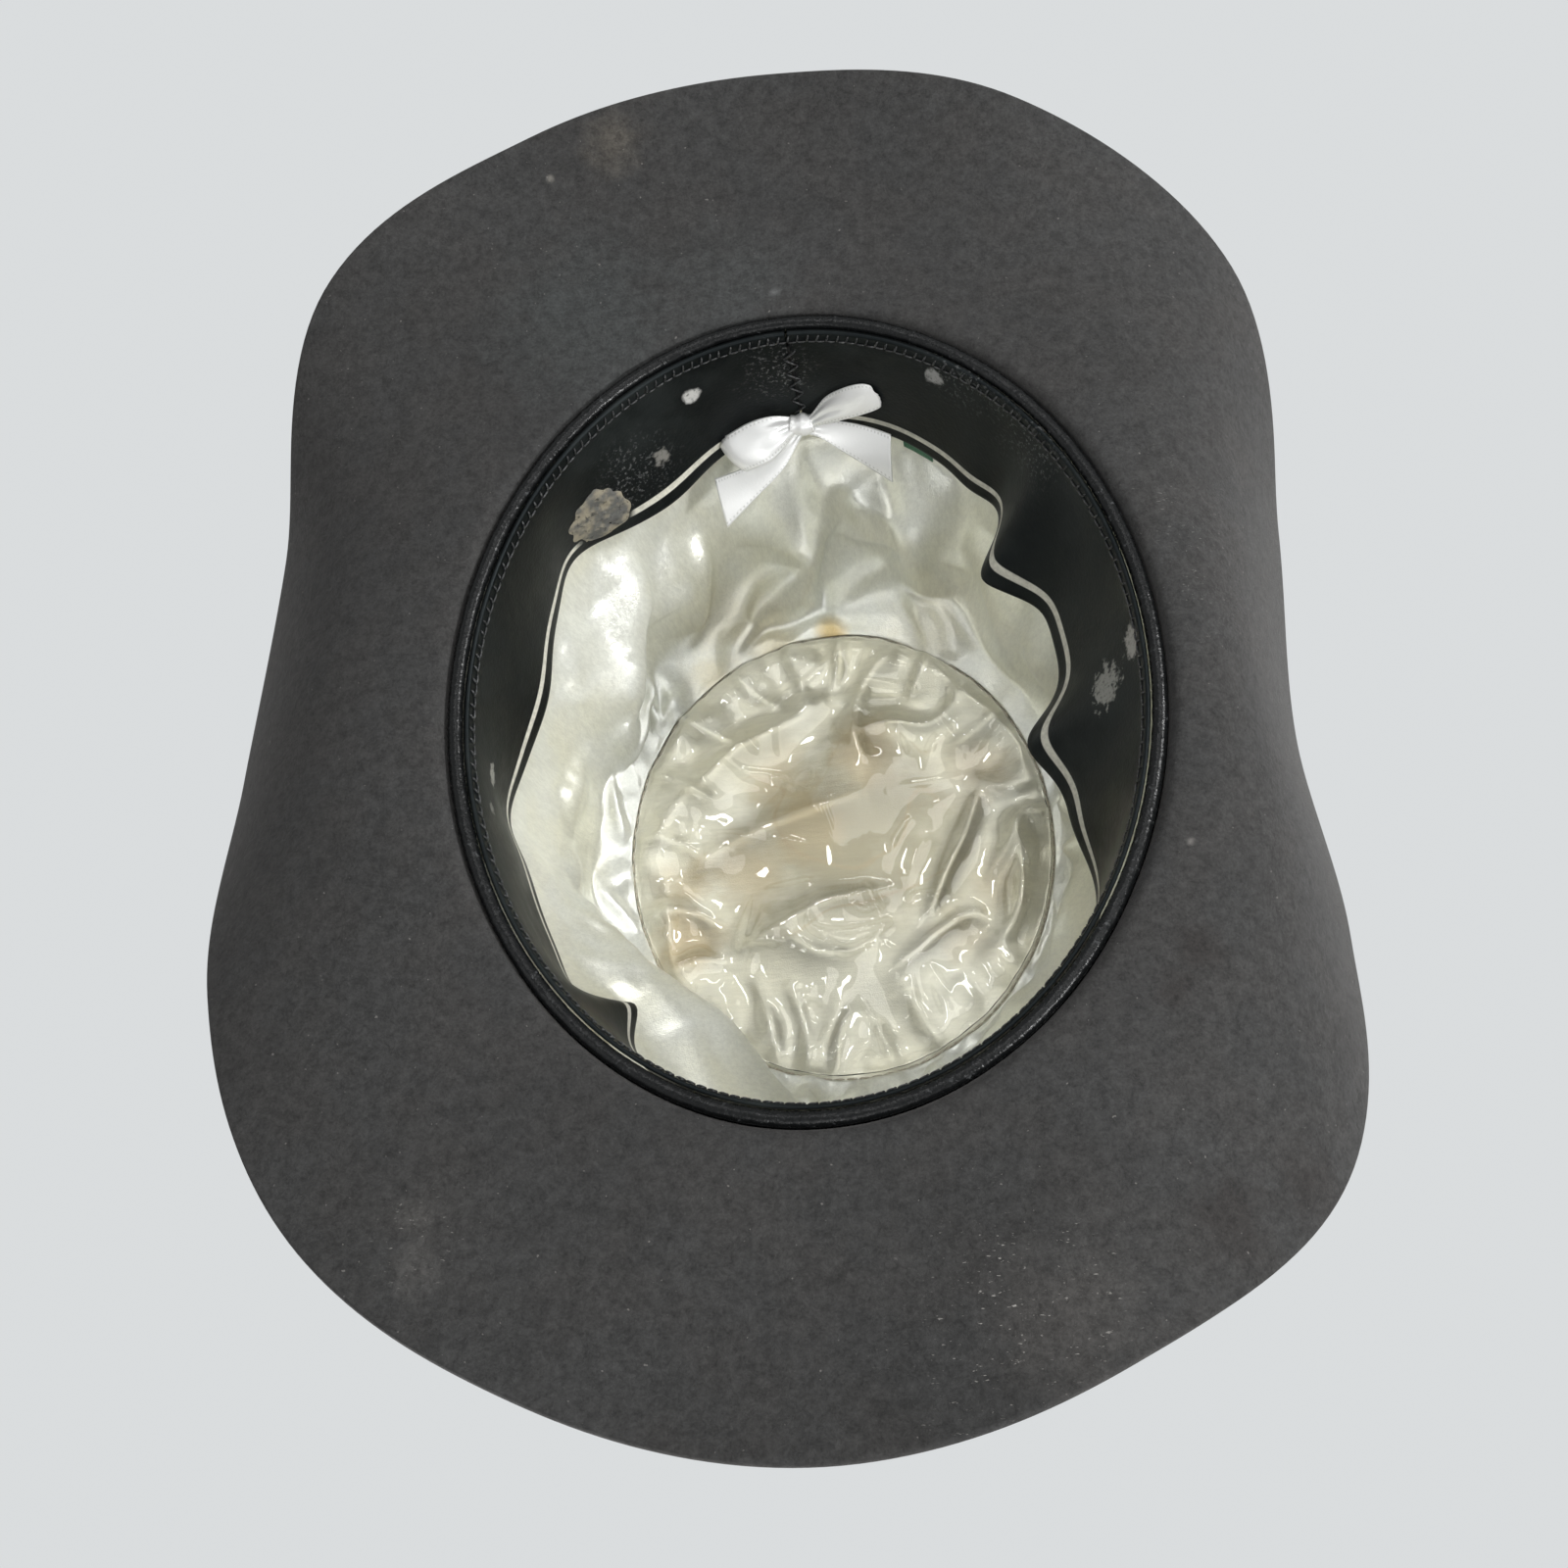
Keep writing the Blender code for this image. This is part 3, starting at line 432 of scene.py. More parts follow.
# Edges of the bow's ribbons, row by row, as (left, down, towards the viewer) from the knot, in millimetres
LEFT_LOOP = (
    ((1.0, -1.2, 0.2), (1.0, 1.6, 0.2)),
    ((3.4, -2.2, 0.2), (2.8, 2.8, 0.4)),
    ((8.4, -2.6, -0.6), (5.2, 5.6, 0.0)),
    ((14.4, -1.4, -0.9), (9.2, 9.0, -0.6)),
    ((20.4, 1.2, -0.4), (14.2, 10.6, -0.2)),
    ((22.8, 2.4, 1.2), (16.0, 11.0, 1.4)),
    ((20.6, 1.3, 3.2), (14.4, 10.5, 3.0)),
    ((14.2, -1.6, 4.3), (9.0, 8.8, 3.9)),
    ((8.4, -2.8, 3.8), (5.0, 5.6, 3.4)),
    ((3.4, -2.3, 2.2), (2.6, 2.8, 2.2)),
    ((1.0, -1.2, 1.6), (1.0, 1.6, 1.6)),
)
RIGHT_LOOP = (
    ((-1.0, -1.2, 1.6), (-1.0, 1.4, 1.6)),
    ((-3.4, -2.6, 3.0), (-3.0, 0.9, 2.6)),
    ((-7.6, -6.6, 7.4), (-8.0, 0.2, 5.6)),
    ((-12.4, -8.4, 11.6), (-13.6, -0.6, 7.8)),
    ((-17.0, -9.0, 14.2), (-19.4, -1.8, 9.2)),
    ((-19.8, -8.2, 14.4), (-21.8, -2.8, 8.2)),
    ((-19.6, -6.8, 12.6), (-21.2, -3.4, 6.0)),
    ((-14.0, -6.0, 7.6), (-15.0, -1.8, 3.4)),
    ((-8.4, -4.2, 4.8), (-8.6, -0.4, 2.2)),
    ((-3.4, -1.9, 2.0), (-3.2, 1.0, 1.0)),
    ((-1.0, -1.2, 0.6), (-1.0, 1.4, 0.6)),
)
LEFT_TAIL = (
    ((0.6, 0.2, -0.6), (-0.6, 1.8, -0.6)),
    ((4.2, 2.6, -1.0), (2.0, 5.4, -1.0)),
    ((10.2, 7.8, -2.2), (6.2, 11.4, -2.0)),
    ((18.4, 10.6, -4.0), (14.4, 18.4, -4.4)),
    ((25.5, 12.4, -5.0), (23.5, 26.0, -7.0)),
)
RIGHT_TAIL = (
    ((0.6, 1.4, -0.8), (0.0, 2.4, -0.6)),
    ((-5.0, -0.6, -1.0), (-4.2, 3.8, -1.0)),
    ((-11.6, 0.4, -0.4), (-9.8, 7.8, -1.6)),
    ((-18.2, 2.4, 0.8), (-16.6, 12.8, -1.8)),
    ((-23.6, 4.8, 2.2), (-23.0, 17.6, -1.6)),
)

# Ribbon band outside the crown, with its flat bow on the wearer's left
RIBBON_THICKNESS = 0.001
RIB_PITCH = 0.0009
RIBBON_FOOT = 0.0055
RIBBON_WIDTH = 0.025
RIBBON_TURN_STEPS = 360
RIBBON_RISE_STEPS = 16
RIBBON_RIPPLE = 0.0001
RIBBON_RIPPLE_SCALE = 90.0
FLAT_BOW_HALF_LENGTH = 0.024
FLAT_BOW_FULLNESS = 0.0030
FLAT_BOW_THICKNESS = 0.0007
FLAT_BOW_MARGIN = 0.0025
FLAT_BOW_STEPS = 120
FLAT_BOW_SIDE_STEPS = 11
FLAT_WRAP_LENGTH = 0.009
FLAT_WRAP_WALL = 0.0006
FLAT_WRAP_POWER = 0.3
FLAT_WRAP_ROUND = 0.05
FLAT_WRAP_STEPS = 48
FLAT_WRAP_SIDE_STEPS = 9

# Marks on the felt: place, radius, colour, strength and raggedness
FELT_MARKS = (
    ((0.042, 0.155, -0.008), 0.011, (0.095, 0.085, 0.070), 0.5, 0.5),
    ((0.059, 0.147, -0.007), 0.0016, (0.20, 0.19, 0.17), 0.6, 0.6),
    ((0.002, 0.110, 0.0), 0.0022, (0.15, 0.155, 0.155), 0.6, 0.6),
    ((0.052, 0.106, 0.0), 0.034, (0.048, 0.053, 0.053), 0.6, 0.4),
    ((0.015, 0.114, 0.0), 0.026, (0.050, 0.054, 0.054), 0.5, 0.4),
    ((0.088, -0.118, -0.003), 0.007, (0.085, 0.082, 0.078), 0.5, 0.7),
    ((0.086, -0.130, -0.004), 0.008, (0.085, 0.082, 0.078), 0.5, 0.7),
    ((-0.085, -0.069, 0.0015), 0.008, (0.024, 0.022, 0.021), 0.8, 0.8),
    ((-0.079, -0.078, 0.001), 0.007, (0.024, 0.022, 0.021), 0.7, 0.8),
    ((-0.086, -0.126, 0.005), 0.014, (0.026, 0.024, 0.023), 0.8, 0.6),
    ((-0.104, -0.119, 0.015), 0.013, (0.026, 0.024, 0.023), 0.8, 0.6),
    ((-0.050, -0.145, -0.004), 0.024, (0.066, 0.063, 0.060), 0.5, 0.6),
    ((-0.0857, -0.045, 0.001), 0.0016, (0.18, 0.17, 0.16), 0.6, 0.5),
)
# Clusters of lint on the felt: middle, radius and strength
FELT_FLECKS = (
    ((-0.040, -0.148, -0.005), 0.034, 0.8),
    ((0.086, -0.124, -0.004), 0.016, 0.5),
    ((-0.100, 0.030, 0.02), 0.05, 0.3),
)
# Residue and scuffs on the sweatband: place, radius, colour, strength, raggedness and size of the grain
BAND_MARKS = (
    ((0.0269, 0.0919, 0.0142), 0.0034, (0.52, 0.52, 0.50), 0.95, 0.35, 300.0),
    ((-0.0370, 0.0868, 0.0091), 0.0032, (0.36, 0.36, 0.35), 0.8, 0.6, 420.0),
    ((0.0378, 0.0825, 0.0270), 0.0040, (0.33, 0.32, 0.29), 0.5, 0.7, 420.0),
    ((-0.0789, 0.0080, 0.0081), 0.0046, (0.42, 0.41, 0.38), 0.8, 0.7, 420.0),
    ((-0.0733, 0.0022, 0.0199), 0.0064, (0.38, 0.38, 0.35), 0.65, 1.0, 480.0),
    ((0.0790, -0.0082, 0.0195), 0.0030, (0.40, 0.40, 0.36), 0.6, 0.8, 500.0),
    ((0.0782, -0.0191, 0.0145), 0.0024, (0.30, 0.30, 0.27), 0.5, 0.8, 500.0),
)
# Dull dusty stretches of the sweatband: middle, radius and strength
BAND_DUST = (
    ((0.0046, 0.0978, 0.0157), 0.015, 0.9),
    ((0.045, 0.0775, 0.027), 0.017, 0.7),
    ((-0.062, 0.068, 0.005), 0.022, 0.6),
    ((-0.044, 0.083, 0.004), 0.016, 0.5),
)
# Share of each colour that aged satin keeps
SATIN_AGEING = (0.97, 0.95, 0.87)
# Streaks along the floats of the satin: their number per metre along each axis
LINING_FLOATS = (900.0, 900.0, 120.0)
TIP_FLOATS = (120.0, 900.0, 900.0)
# Stains of the lining and its tip: place, radius, colour, strength and raggedness
LINING_STAINS = (
    ((0.000, 0.0628, 0.1024), 0.007, (0.66, 0.49, 0.20), 0.9, 0.3),
    ((0.026, 0.066, 0.098), 0.022, (0.60, 0.54, 0.38), 0.5, 0.5),
    ((0.034, 0.051, 0.100), 0.012, (0.62, 0.54, 0.33), 0.6, 0.4),
    ((0.015, 0.058, 0.101), 0.010, (0.62, 0.54, 0.33), 0.6, 0.4),
    ((-0.030, 0.060, 0.098), 0.020, (0.60, 0.54, 0.38), 0.4, 0.5),
)
TIP_STAINS = (
    ((-0.002, -0.002, 0.102), 0.047, (0.28, 0.25, 0.155), 0.9, 0.5),
    ((0.004, -0.046, 0.102), 0.034, (0.50, 0.49, 0.40), 0.75, 0.5),
    ((0.0421, -0.0290, 0.102), 0.016, (0.40, 0.32, 0.18), 0.85, 0.7),
    ((0.0440, -0.0144, 0.102), 0.013, (0.44, 0.37, 0.23), 0.8, 0.7),
    ((0.0279, -0.0111, 0.102), 0.016, (0.46, 0.39, 0.25), 0.75, 0.7),
    ((0.0105, 0.0053, 0.102), 0.018, (0.42, 0.35, 0.21), 0.8, 0.7),
    ((0.0162, 0.0189, 0.102), 0.013, (0.46, 0.39, 0.25), 0.7, 0.7),
    ((-0.0087, 0.0235, 0.102), 0.014, (0.42, 0.35, 0.22), 0.8, 0.7),
    ((-0.0374, 0.0161, 0.102), 0.014, (0.42, 0.36, 0.25), 0.7, 0.7),
    ((-0.0424, -0.0195, 0.102), 0.012, (0.44, 0.38, 0.26), 0.6, 0.7),
    ((-0.0356, -0.0329, 0.102), 0.012, (0.44, 0.38, 0.26), 0.6, 0.7),
)
# Middle and radius of the area where stains have left thin brown lines
TIP_TIDE = ((-0.002, 0.000, 0.102), 0.048)

# Corners of a quad, as steps across and along
QUAD_CORNERS = ((0, 0), (0, 1), (1, 1), (1, 0))


# Meshes from rows of points


def mesh_object(name, corners, faces, finish):
    """Smooth mesh with one finish, added to the scene."""
    mesh = bpy.data.meshes.new(name)
    mesh.from_pydata(corners, [], faces)
    mesh.shade_smooth()
    mesh.materials.append(finish)
    item = bpy.data.objects.new(name, mesh)
    bpy.context.scene.collection.objects.link(item)
    return item


def grid_faces(rows, columns, wrap_rows=False, wrap_columns=False):
    """Quads between rows of corners, with the row and the column that each one starts at."""
    down = np.arange(rows if wrap_rows else rows - 1)
    aside = np.arange(columns if wrap_columns else columns - 1)
    i, j = (place.ravel() for place in np.meshgrid(down, aside, indexing="ij"))
    below = (i + 1) % rows * columns
    beside = (j + 1) % columns
    quads = np.stack([i * columns + j, below + j, below + beside, i * columns + beside], axis=1)
    return quads, i, j


def grid_object(name, points, finish, wrap_rows=False, wrap_columns=False, poles=(), across=None, along=None):
    """Mesh of quads between rows of points, closed by a pole before the first and after the last row.

    across and along give each column and row its place on the flat piece, in metres, as texture coordinates.
    """
    rows, columns = points.shape[:2]
    quads, i, j = grid_faces(rows, columns, wrap_rows, wrap_columns)
    faces = quads.tolist()
    corners = points.reshape(-1, 3).tolist()
    for pole, row in zip(poles, (0, rows - 1)):
        for step in range(columns):
            edge = (row * columns + step, row * columns + (step + 1) % columns)
            faces.append((len(corners), *edge) if row == 0 else (len(corners), *reversed(edge)))
        corners.append(list(pole))
    item = mesh_object(name, corners, faces, finish)
    if across is not None:
        places = [np.stack([across[j + right], along[i + down]], axis=1) for right, down in QUAD_CORNERS]
        item.data.uv_layers.new(name="flat").data.foreach_set("uv", np.stack(places, axis=1).ravel())
    return item


def grid_normals(points, wrap_rows=False, wrap_columns=False):
    """Unit normals of a grid of points."""

    def slope(axis, wrap):
        if wrap:
            return np.roll(points, -1, axis) - np.roll(points, 1, axis)
        return np.gradient(points, axis=axis)

    normal = np.cross(slope(1, wrap_columns), slope(0, wrap_rows))
    return normal / np.maximum(np.linalg.norm(normal, axis=2, keepdims=True), 1e-12)


def thicken(item, thickness, offset):
    """Give a sheet its thickness, along its normals (+1), against them (-1) or both ways (0)."""
    solidify = item.modifiers.new("Thickness", "SOLIDIFY")
    solidify.thickness = thickness
    solidify.offset = offset
    return item


def tube_rows(path, radius):
    """Rings of points round a path, with a radius for each."""
    run = np.gradient(path, axis=0)
    run /= np.linalg.norm(run, axis=1, keepdims=True)
    aside = np.cross(run, (0.0, 0.0, 1.0))
    flat = np.linalg.norm(aside, axis=1) < 0.1
    aside[flat] = np.cross(run[flat], (1.0, 0.0, 0.0))
    aside /= np.linalg.norm(aside, axis=1, keepdims=True)
    over = np.cross(run, aside)
    turn = turns(THREAD_SIDES)[None, :, None]
    ring = np.cos(turn) * aside[:, None] + np.sin(turn) * over[:, None]
    return path[:, None] + radius[:, None, None] * ring


def join_tubes(name, paths, radius, finish):
    """One object of many short threads with rounded ends."""
    corners = []
    faces = []
    for path in paths:
        taper = np.full(len(path), radius)
        taper[[0, -1]] = THREAD_END * radius
        start = len(corners)
        corners += tube_rows(path, taper).reshape(-1, 3).tolist()
        quads = grid_faces(len(path), THREAD_SIDES, wrap_columns=True)[0]
        faces += (start + quads).tolist()
        faces.append(list(range(start, start + THREAD_SIDES)))
        faces.append(list(reversed(range(len(corners) - THREAD_SIDES, len(corners)))))
    return mesh_object(name, corners, faces, finish)


def smooth_step(low, high, value):
    share = np.clip((np.asarray(value, float) - low) / (high - low), 0.0, 1.0)
    return share * share * (3 - 2 * share)


def bell(distance, spread):
    return np.exp(-((np.asarray(distance) / spread) ** 2))


def squared(value, power):
    """Sine or cosine of a turn, changed to go round a square with round corners."""
    return math.copysign(abs(value) ** power, value)


def turn_between(angle, other):
    """Smallest turn from one angle to another, in radians."""
    return (np.asarray(angle) - other + math.pi) % TAU - math.pi


def bells(angle, places):
    """Sum of swells round the opening: (angle in degrees, swell, spread in degrees)."""
    total = np.zeros_like(np.asarray(angle, float))
    for centre, swell, spread in places:
        total = total + swell * bell(turn_between(angle, math.radians(centre)), math.radians(spread))
    return total


def turns(count):
    return np.linspace(0, TAU, count, endpoint=False)


def stack(x, y, z):
    x, y, z = np.broadcast_arrays(x, y, z)
    return np.stack([x, y, z], axis=-1).astype(float)


def oval(angle, inset, height):
    """Points beside the head oval."""
    across = np.cos(angle) / HEAD_HALF_WIDTH
    along = np.sin(angle) / HEAD_HALF_LENGTH
    size = np.hypot(across, along)
    x = HEAD_HALF_WIDTH * np.cos(angle) - inset * across / size
    y = HEAD_HALF_LENGTH * np.sin(angle) - inset * along / size
    return stack(x, y, height)


def oval_length(angle):
    """Length round the head oval up to an angle."""
    steps = np.linspace(0, 1, 65)
    sweep = np.asarray(angle)[..., None] * steps
    rate = np.hypot(HEAD_HALF_WIDTH * np.sin(sweep), HEAD_HALF_LENGTH * np.cos(sweep))
    return np.trapz(rate, sweep, axis=-1)


def curve_at(points, place, ends):
    """Smooth line through points, at places counted in points. Its ends clip or wrap."""
    first = np.floor(place).astype(int)
    t = (place - first)[:, None]
    a, b, c, d = (np.take(points, first + step, axis=0, mode=ends) for step in (-1, 0, 1, 2))
    return (
        b * (1 + 2 * t) * (1 - t) ** 2
        + (c - a) / 2 * t * (1 - t) ** 2
        + c * t * t * (3 - 2 * t)
        - (d - b) / 2 * t * t * (1 - t)
    )


def curve_through(points, count):
    """Smooth line through points, at even steps from the first to the last."""
    return curve_at(np.array(points, float), np.linspace(0, len(points) - 1, count), "clip")


def keep_inside(rows, inset, gap, top):
    """Move points that went through a wall back inside it. inset gives the wall at angles and heights."""
    angle = np.arctan2(rows[..., 1] / HEAD_HALF_LENGTH, rows[..., 0] / HEAD_HALF_WIDTH)
    limit = oval(angle, inset(angle, rows[..., 2]) + gap, rows[..., 2])
    beyond = np.hypot(rows[..., 0], rows[..., 1]) > np.hypot(limit[..., 0], limit[..., 1])
    through = beyond & (rows[..., 2] < top)
    rows[through] = limit[through]
    return rows


def ripple(points, scale, size, shift=0.0):
    """Soft random heights at points, the same on each run."""
    flat = points.reshape(-1, 3) * scale + shift
    heights = [noise.noise(Vector(place)) for place in flat]
    return size * np.array(heights).reshape(points.shape[:-1])


# Finishes


class Nodes:
    """A node tree, with short calls that add nodes and feed their sockets."""

    def __init__(self, tree):
        self.tree = tree

    def feed(self, socket, value):
        if isinstance(value, bpy.types.NodeSocket):
            self.tree.links.new(value, socket)
        else:
            socket.default_value = value

    def add(self, kind, values=(), **settings):
        node = self.tree.nodes.new("ShaderNode" + kind)
        for key, value in settings.items():
            setattr(node, key, value)
        for key, value in dict(values).items():
            self.feed(node.inputs[key], value)
        return node

    def math(self, operation, a, b=0.0, c=0.0):
        return self.add("Math", {0: a, 1: b, 2: c}, operation=operation).outputs[0]

    def times(self, a, b):
        return self.math("MULTIPLY", a, b)

    def show(self, output, share, first, last):
        """Send a mix of two shaders to the output node."""
        mixed = self.add("MixShader", {0: share, 1: first, 2: last}).outputs[0]
        self.feed(self.tree.nodes[output].inputs["Surface"], mixed)


class Finish(Nodes):
    """A Principled material, with short calls for the patterns that feed it."""

    def __init__(self, name, colour, roughness, constants=()):
        self.material = bpy.data.materials.new(name)
        self.material.use_nodes = True
        super().__init__(self.material.node_tree)
        self.shader = self.tree.nodes["Principled BSDF"]
        self.set("Base Color", (*colour, 1.0))
        self.set("Roughness", roughness)
        for socket, value in dict(constants).items():
            self.set(socket, value)
        self.place = None

    def set(self, socket, value):
        self.feed(self.shader.inputs[socket], value)

    def where(self):
        """Place on the object, in metres."""
        if self.place is None:
            self.place = self.add("TexCoord").outputs["Object"]
        return self.place

    def flat(self):
        """Place on the flat piece, in metres, as two sockets."""
        split = self.add("SeparateXYZ", {"Vector": self.add("UVMap", uv_map="flat").outputs["UV"]})
        return split.outputs["X"], split.outputs["Y"]

    def stretched(self, scale, turn=(0.0, 0.0, 0.0)):
        values = {"Vector": self.where(), "Scale": scale, "Rotation": turn}
        return self.add("Mapping", values).outputs["Vector"]

    def noise(self, scale, detail=2.0, roughness=0.5, place=None, distortion=0.0):
        values = {
            "Vector": place or self.where(),
            "Scale": scale,
            "Detail": detail,
            "Roughness": roughness,
            "Distortion": distortion,
        }
        return self.add("TexNoise", values).outputs["Fac"]

    def ramp(self, value, low, high, start=0.0, end=1.0):
        """Smooth change from start to end as the value goes from low to high."""
        values = {"Value": value, "From Min": low, "From Max": high, "To Min": start, "To Max": end}
        return self.add("MapRange", values, interpolation_type="SMOOTHSTEP").outputs["Result"]

    def mix(self, share, a, b):
        """Colour between two colours."""
        a, b = ((*colour, 1.0) if isinstance(colour, tuple) else colour for colour in (a, b))
        return self.add("Mix", {0: share, 6: a, 7: b}, data_type="RGBA", clamp_factor=True).outputs[2]

    def stain(self, colour, tone, *masks):
        """Colour with a tone laid over it, as far as all masks and strengths let it."""
        share = masks[0]
        for mask in masks[1:]:
            share = self.times(share, mask)
        return self.mix(share, colour, tone)

    def tint(self, colour, by):
        """Colour multiplied by a number."""
        return self.add("VectorMath", {0: colour, "Scale": by}, operation="SCALE").outputs[0]

    def spot(self, centre, radius, soft=0.5, ragged=0.0, grain=400.0):
        """Mask that is 1 inside a spot and fades to 0 at its radius, with a ragged edge."""
        away = self.add("VectorMath", {0: self.where(), 1: centre}, operation="DISTANCE").outputs["Value"]
        if ragged:
            wander = self.math("SUBTRACT", self.noise(grain, 3.0, 0.6), 0.5)
            away = self.math("MULTIPLY_ADD", wander, 2 * ragged * radius, away)
        return self.ramp(away, radius, radius * (1 - soft))

    def band(self, value, low, high, soft):
        """Mask that is 1 while a value lies between two limits."""
        edge = soft / 2
        rise = self.ramp(value, low - edge, low + edge)
        return self.times(rise, self.ramp(value, high + edge, high - edge))

    def bump(self, height, depth, strength=1.0):
        """Surface relief, depth in metres."""
        values = {"Height": height, "Distance": depth, "Strength": strength}
        self.set("Normal", self.add("Bump", values).outputs["Normal"])


def felt_finish():
    """Fur felt: short matted nap, warm grey, with handling marks and lint on the underside of the brim."""
    finish = Finish(
        "felt",
        (0.07, 0.066, 0.064),
        0.92,
        {
            "Specular IOR Level": 0.25,
            "Sheen Weight": 0.16,
            "Sheen Roughness": 0.45,
            "Sheen Tint": (0.75, 0.72, 0.7, 1),
        },
    )
    mottle = finish.noise(300.0, 5.0, 0.7)
    speck = finish.noise(1500.0, 2.0, 0.6)
    blotch = finish.noise(16.0, 3.0, 0.55)
    nap = finish.noise(760.0, 5.0, 0.78, distortion=0.6)
    tone = finish.ramp(mottle, 0.3, 0.7, 0.78, 1.24)
    tone = finish.math("ADD", tone, finish.ramp(nap, 0.35, 0.65, -0.2, 0.2))
    tone = finish.math("ADD", tone, finish.ramp(speck, 0.35, 0.65, -0.1, 0.1))
    tone = finish.times(tone, finish.ramp(blotch, 0.3, 0.7, 0.92, 1.07))
    hue = finish.ramp(finish.noise(55.0, 3.0), 0.35, 0.65)
    hue = finish.mix(hue, (0.0375, 0.0368, 0.0360), (0.0360, 0.0362, 0.0360))
    facing = finish.add("SeparateXYZ", {"Vector": finish.add("TexCoord").outputs["Normal"]}).outputs["Z"]
    under = finish.ramp(facing, 0.1, -0.1)
    for centre, radius, colour, strength, ragged in FELT_MARKS:
        hue = finish.stain(hue, colour, finish.spot(centre, radius, 0.9, ragged, 160.0), under, strength)
    colour = finish.tint(hue, tone)
    fibres = finish.stretched((520.0, 1500.0, 900.0), (0.0, 0.0, 0.7))
    lint = finish.ramp(finish.noise(1.0, 2.0, 0.65, fibres), 0.66, 0.74)
    for centre, radius, strength in FELT_FLECKS:
        spot = finish.spot(centre, radius, 0.8, 0.5, 120.0)
        colour = finish.stain(colour, (0.34, 0.33, 0.31), spot, lint, under, strength)
    lint = finish.ramp(finish.noise(900.0, 1.0, 0.5), 0.775, 0.80)
    finish.set("Base Color", finish.stain(colour, (0.22, 0.21, 0.20), lint, 0.5))
    relief = finish.math("ADD", nap, finish.times(mottle, 0.8))
    finish.bump(relief, 0.00035, 0.7)
    return finish.material


def leather_finish():
    """Black coated leather: fine grain, uneven gloss, a pale line near the free edge, residue, scuffs, and
    patches of wear and painted sheen.
    """
    gloss = {"Specular IOR Level": 0.15, "Specular Tint": (0.8, 0.95, 1.0, 1.0)}
    finish = Finish("black_leather", (0.004, 0.0044, 0.0044), 0.42, gloss)
    height = finish.flat()[1]
    cells = {"Vector": finish.where(), "Scale": 1300.0}
    grain = finish.add("TexVoronoi", cells, feature="SMOOTH_F1").outputs["Distance"]
    crumple = finish.noise(170.0, 4.0, 0.6)
    wear_and_painted_highlights = finish.noise(38.0, 4.0, 0.65)
    finish.set("Roughness", finish.ramp(wear_and_painted_highlights, 0.3, 0.7, 0.34, 0.52))
    # Lighter cloudy patches: partly wear and partly painted sheen, standing in for the lighter facets of the
    # leather
    colour = finish.mix(finish.ramp(wear_and_painted_highlights, 0.45, 0.75), (0.0030, 0.0036, 0.0038), (0.0130, 0.0150, 0.0145))
    line = finish.band(height, *BAND_LINE, 0.0003)
    missing = finish.spot((0.055, 0.069, 0.036), 0.0105, 0.3, 0.15)
    line = finish.times(line, finish.math("SUBTRACT", 1.0, missing))
    line_tone = finish.ramp(finish.noise(700.0, 3.0, 0.7), 0.25, 0.75, 0.72, 1.05)
    colour = finish.mix(line, colour, finish.tint((0.62, 0.61, 0.53), line_tone))
    speckle = finish.ramp(finish.noise(900.0, 4.0, 0.75), 0.30, 0.52, 0.3, 1.0)
    for centre, radius, tone, strength, ragged, grain_scale in BAND_MARKS:
        spot = finish.spot(centre, radius, 0.35, ragged, grain_scale)
        colour = finish.stain(colour, tone, spot, speckle, strength)
    dust = finish.ramp(finish.noise(1000.0, 3.0, 0.65), 0.54, 0.68)
    for centre, radius, strength in BAND_DUST:
        spot = finish.spot(centre, radius, 0.9, 0.4, 90.0)
        colour = finish.stain(colour, (0.16, 0.165, 0.165), spot, dust, strength)
    finish.set("Base Color", colour)
    relief = finish.math("ADD", finish.times(grain, 0.35), crumple)
    finish.bump(relief, 0.0003, 0.35)
    return finish.material


def tape_finish():
    """Coated tape round the reed: black, creased across, with grey specks that are partly wear and partly
    painted glints.
    """
    finish = Finish("reed_tape", (0.0045, 0.005, 0.005), 0.3, {"Specular IOR Level": 0.2})
    crease = finish.noise(1.0, 3.0, 0.6, finish.stretched((900.0, 900.0, 300.0)))
    wear_and_painted_highlights = finish.ramp(finish.noise(520.0, 4.0, 0.7), 0.60, 0.74)
    # Grey specks: partly wear and partly painted glints along the reed
    finish.set("Base Color", finish.mix(wear_and_painted_highlights, (0.004, 0.0044, 0.0046), (0.06, 0.063, 0.065)))
    finish.set("Roughness", finish.ramp(crease, 0.3, 0.7, 0.16, 0.34))
    finish.bump(crease, 0.0004, 0.45)
    return finish.material


def thread_finish(name, dark, pale, roughness):
    """Sewing thread with a twist."""
    finish = Finish(name, dark, roughness)
    twist = finish.noise(1600.0, 2.0, 0.6)
    finish.set("Base Color", finish.mix(finish.ramp(twist, 0.4, 0.7), dark, pale))
    finish.bump(twist, 0.0001, 0.5)
    return finish.material


